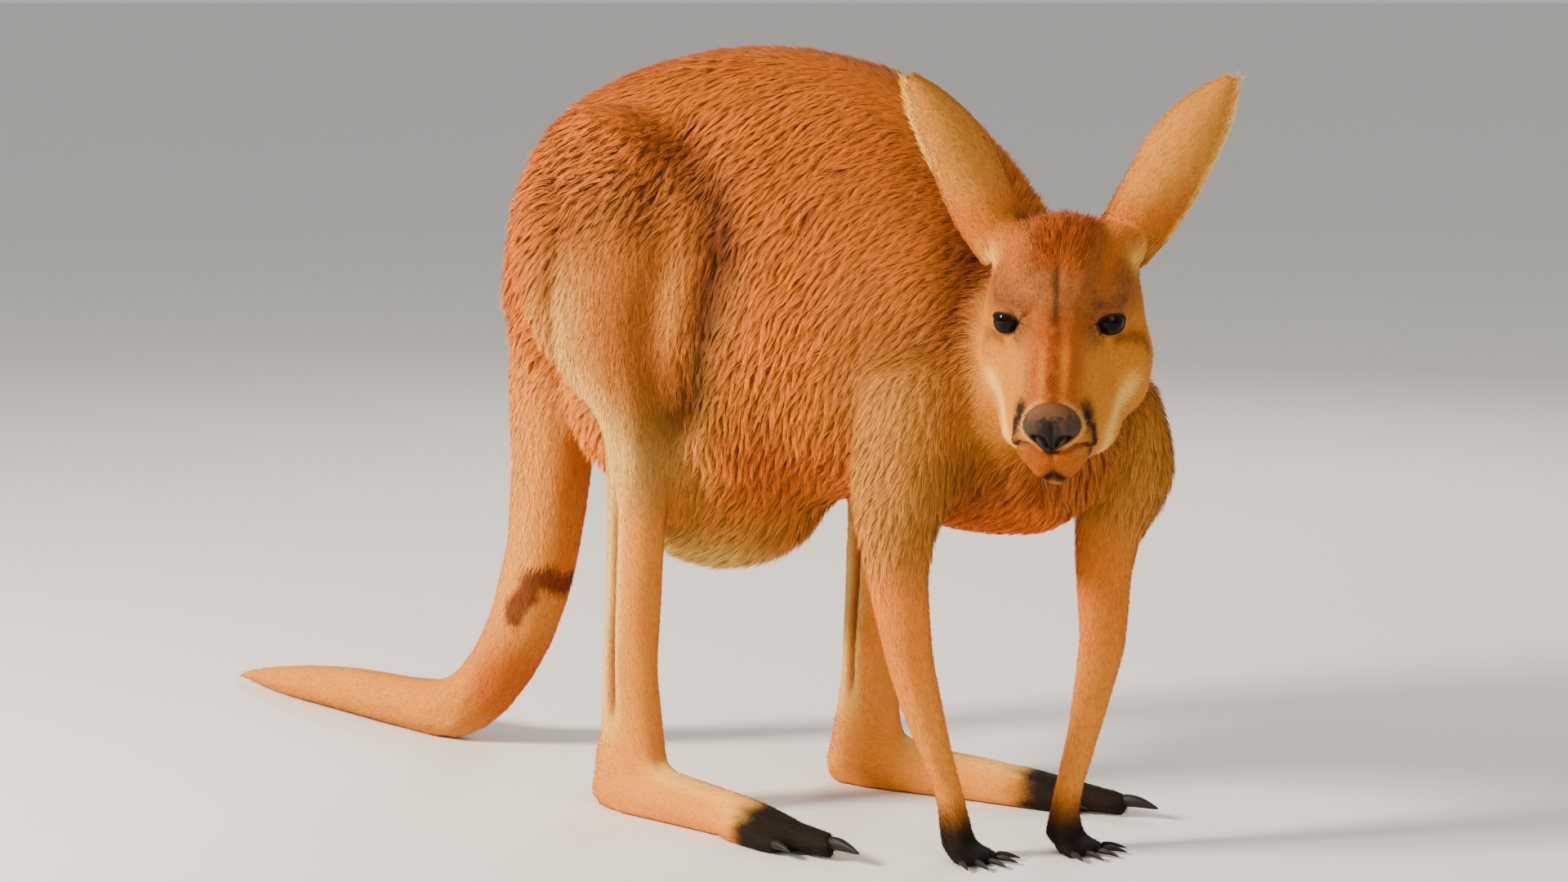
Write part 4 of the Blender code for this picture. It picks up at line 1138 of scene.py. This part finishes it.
def make_eye(side, sign):
    """A wet dark eyeball with a bulging clear front."""
    middle, look, corner, brow = eye_axes(sign)
    bpy.ops.mesh.primitive_uv_sphere_add(segments=64, ring_count=40, radius=EYE_BALL)
    eye = bpy.context.object
    eye.name = "eyeball_" + side
    spots = points_of(eye)
    turn = np.column_stack([corner, brow, look])
    bulge = ramp(0.55, 1.0, spots[:, 2] / EYE_BALL)
    spots[:, 2] += bulge * 0.0006
    put_points(eye, spots @ turn.T + middle)
    bpy.ops.object.shade_smooth()
    shade = np.hypot(spots[:, 0], spots[:, 1]) / EYE_BALL
    ahead = spots[:, 2] > 0
    tone = np.where((shade < 0.36)[:, None] & ahead[:, None], tint(5, 4, 4), tint(20, 11, 8))
    tone = np.where(((shade > 0.80) | ~ahead)[:, None], tint(40, 22, 15), tone)
    paint(eye.data, tone)
    return eye


NOSTRIL = [(0.24, -0.50), (0.30, -0.26), (0.44, -0.12), (0.60, -0.14), (0.70, -0.26)]


def nostril_depth(across, high):
    """Closeness, 0 to 1, to the comma of a nostril on either side of the pad."""
    return near_line(np.column_stack([np.abs(across), high]), NOSTRIL, 0.105)


def make_nose():
    """The bare nose pad: two lobes over comma nostrils, a middle groove, narrow below."""
    bpy.ops.mesh.primitive_uv_sphere_add(segments=128, ring_count=96, radius=1.0)
    nose = bpy.context.object
    nose.name = "nose_leather"
    spots = points_of(nose)
    across, high, out = spots[:, 0], spots[:, 2], -spots[:, 1]
    round_out = np.hypot(across, high)
    front = np.sqrt(np.clip(1 - round_out ** 2.8, 0, 1)) * np.sign(out)
    wide = PAD_SIZE[0] * pad_taper(high)
    body = np.column_stack([across * wide, high * PAD_SIZE[1], np.where(out > 0, front, out) * 0.0112])
    facing = out > 0
    slot = nostril_depth(across, high) * facing
    groove = bump_at(across, 0, 0.085) * ramp(0.62, 0.20, high) * facing
    lobe = (bump_at(np.abs(across), 0.52, 0.26) * bump_at(high, 0.10, 0.38) * 0.0022
            + bump_at(np.abs(across), 0.40, 0.30) * bump_at(high, -0.55, 0.22) * 0.0010) * facing
    body[:, 2] += lobe - slot * 0.0042 - groove * 0.0020
    middle = box_middle("nose_pad")
    put_points(nose, middle + np.outer(body[:, 0], out_way) + np.outer(body[:, 1], up_way)
               + np.outer(body[:, 2], ahead_way))
    rough = cell_noise(np.column_stack([across, high, out]), 0.12, 7)
    tone = np.tile(PAD_GREY, (len(spots), 1)) * (1 + 0.12 * rough)[:, None]
    centre = ramp(0.46, 0.24, np.abs(across) + 0.05 * rough)
    centre = centre * ramp(0.75, 0.45, high + 0.12 * rough)
    # The pad is grey with a brown top and black at its lower end; the black down its middle is partly its
    # own colour and partly painted shade of the groove, and the nostrils and groove are darkened as painted
    # shade.
    paint(nose.data, layered(tone, (
        (PAD_BLACK, np.maximum(centre, ramp(-0.35, -0.60, high)) * 0.92),
        (PAD_BROWN, ramp(0.40, 0.80, high + 0.25 * rough) * 0.9),
        (PAD_BLACK * 0.5, np.maximum(slot * 1.2, groove * 0.9)))))
    only(nose)
    bpy.ops.object.mode_set(mode="EDIT")
    bpy.ops.mesh.select_all(action="SELECT")
    bpy.ops.mesh.normals_make_consistent(inside=False)
    bpy.ops.object.mode_set(mode="OBJECT")
    bpy.ops.object.shade_smooth()
    return nose


def make_claw(node):
    """A smooth horn claw in the place of its facets."""
    claw = copy_of(node, "horn_" + node)
    keep_modifier(claw, "SUBSURF", levels=2, render_levels=2)
    bpy.ops.object.shade_smooth()
    return claw


# ---------------- finishes

def fine_grain_group():
    """Hair-fine variation of a colour, and a height for bump."""
    group = bpy.data.node_groups.new("fine_grain", "ShaderNodeTree")
    for name, kind, usual in (("Colour", "Color", (0.8, 0.8, 0.8, 1)), ("Scale", "Float", 500.0),
                              ("Strength", "Float", 0.25)):
        entry = group.interface.new_socket(name=name, in_out="INPUT", socket_type="NodeSocket" + kind)
        entry.default_value = usual
    for name, kind in (("Colour", "Color"), ("Height", "Float")):
        group.interface.new_socket(name=name, in_out="OUTPUT", socket_type="NodeSocket" + kind)
    nodes, links = group.nodes, group.links
    enter, leave = nodes.new("NodeGroupInput"), nodes.new("NodeGroupOutput")
    where = nodes.new("ShaderNodeTexCoord")
    noise = nodes.new("ShaderNodeTexNoise")
    noise.inputs["Detail"].default_value = 3.0
    links.new(where.outputs["Object"], noise.inputs["Vector"])
    links.new(enter.outputs["Scale"], noise.inputs["Scale"])
    spread = nodes.new("ShaderNodeMapRange")
    for socket, value in (("From Min", 0.3), ("From Max", 0.7), ("To Min", 0.55), ("To Max", 1.25)):
        spread.inputs[socket].default_value = value
    links.new(noise.outputs["Fac"], spread.inputs["Value"])
    darker = nodes.new("ShaderNodeMix")
    darker.data_type = "RGBA"
    darker.blend_type = "MULTIPLY"
    links.new(enter.outputs["Strength"], darker.inputs["Factor"])
    links.new(enter.outputs["Colour"], darker.inputs[6])
    links.new(spread.outputs["Result"], darker.inputs[7])
    links.new(darker.outputs[2], leave.inputs["Colour"])
    links.new(noise.outputs["Fac"], leave.inputs["Height"])
    return group


FINE_GRAIN = fine_grain_group()


def finish_of(name, colour=None, grain=(500.0, 0.25), bump=0.0, **sockets):
    """A finish: painted tone or one colour, fine grain, and the shader's own settings."""
    made = bpy.data.materials.new(name)
    made.use_nodes = True
    nodes, links = made.node_tree.nodes, made.node_tree.links
    shader = nodes["Principled BSDF"]
    group = nodes.new("ShaderNodeGroup")
    group.node_tree = FINE_GRAIN
    group.inputs["Scale"].default_value = grain[0]
    group.inputs["Strength"].default_value = grain[1]
    if colour is None:
        tone = nodes.new("ShaderNodeAttribute")
        tone.attribute_name = "coat_tone"
        links.new(tone.outputs["Color"], group.inputs["Colour"])
    else:
        group.inputs["Colour"].default_value = (*colour, 1)
    links.new(group.outputs["Colour"], shader.inputs["Base Color"])
    if bump:
        raised = nodes.new("ShaderNodeBump")
        raised.inputs["Strength"].default_value = bump
        raised.inputs["Distance"].default_value = 0.0006
        links.new(group.outputs["Height"], raised.inputs["Height"])
        links.new(raised.outputs["Normal"], shader.inputs["Normal"])
    for socket, value in sockets.items():
        shader.inputs[socket.replace("_", " ")].default_value = value
    return made


def give(piece, finish, nodes=()):
    """Finish a piece, tie it to the body and hide the nodes it stands for."""
    piece.data.materials.clear()
    piece.data.materials.append(finish)
    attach(piece, "root")
    if nodes:
        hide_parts(*nodes)


SKIN_FINISH = finish_of("short_fur_skin", grain=(900.0, 0.45), bump=0.6, Roughness=0.8,
                        Specular_IOR_Level=0.15)
FUR_FINISH = finish_of("kangaroo_fur", grain=(260.0, 0.18), Roughness=0.75, Specular_IOR_Level=0.12)
EYE_FINISH = finish_of("wet_eye", grain=(300.0, 0.2), Roughness=0.05, Specular_IOR_Level=0.10)
NOSE_FINISH = finish_of("nose_leather", grain=(1500.0, 0.6), bump=1.0, Roughness=0.62,
                        Specular_IOR_Level=0.22)
HORN_FINISH = finish_of("claw_horn", tint(26, 21, 18), grain=(700.0, 0.5), bump=0.2, Roughness=0.55,
                        Specular_IOR_Level=0.2)

give(skin, SKIN_FINISH, FLESH + EARS)
for piece in coat_pieces:
    give(piece, FUR_FINISH)
for side, sign in SIDES:
    give(make_eye(side, sign), EYE_FINISH, ["eye_" + side])
give(make_nose(), NOSE_FINISH, ["nose_pad"])
for node in LOOSE:
    if node.startswith("claw_"):
        give(make_claw(node), HORN_FINISH, [node])


# ---------------- floor, light and camera

def make_floor():
    """A pale studio floor."""
    bpy.ops.mesh.primitive_plane_add(size=1600, location=(0, 0, 0))
    floor = bpy.context.object
    floor.name = "studio_floor"
    paint_floor = bpy.data.materials.new("pale_floor")
    paint_floor.use_nodes = True
    paint_floor.node_tree.nodes["Principled BSDF"].inputs["Base Color"].default_value = (0.80, 0.78, 0.75, 1)
    paint_floor.node_tree.nodes["Principled BSDF"].inputs["Roughness"].default_value = 0.9
    floor.data.materials.append(paint_floor)


def soft_lamp(name, place, aim, size, power, colour):
    """A broad area lamp."""
    lamp = bpy.data.lights.new(name, "AREA")
    lamp.shape = "DISK"
    lamp.size = size
    lamp.energy = power
    lamp.color = colour
    holder = bpy.data.objects.new(name, lamp)
    bpy.context.scene.collection.objects.link(holder)
    holder.location = place
    holder.rotation_euler = (Vector(aim) - Vector(place)).to_track_quat("-Z", "Y").to_euler()


def set_camera():
    """Eye level of someone crouching in front of the animal's right shoulder."""
    eye = bpy.data.cameras.new("view")
    eye.lens = 83.25
    eye.sensor_width = 36
    eye.clip_start, eye.clip_end = 0.05, 900
    camera = bpy.data.objects.new("view", eye)
    bpy.context.scene.collection.objects.link(camera)
    camera.location = Vector(SETTING + np.array([-2.455, -2.422, 0.755]))
    dip = math.radians(6.93)
    look = Vector((0.731 * math.cos(dip), 0.682 * math.cos(dip), -math.sin(dip)))
    camera.rotation_mode = "QUATERNION"
    camera.rotation_quaternion = look.to_track_quat("-Z", "Y")
    bpy.context.scene.camera = camera


make_floor()
set_camera()
world = bpy.data.worlds.new("studio")
bpy.context.scene.world = world
world.use_nodes = True
world.node_tree.nodes["Background"].inputs["Color"].default_value = (0.93, 0.92, 0.90, 1)
world.node_tree.nodes["Background"].inputs["Strength"].default_value = 0.55
soft_lamp("key", (-2.8, 1.3, 1.9), (0, -0.1, 0.4), 0.8, 320, (1.0, 0.88, 0.72))
soft_lamp("front", (-1.2, -3.2, 1.8), (0, -0.3, 0.4), 2.0, 42, (1.0, 0.96, 0.90))
soft_lamp("rim", (2.6, 1.0, 2.2), (0, -0.1, 0.4), 1.6, 52, (1.0, 0.92, 0.82))
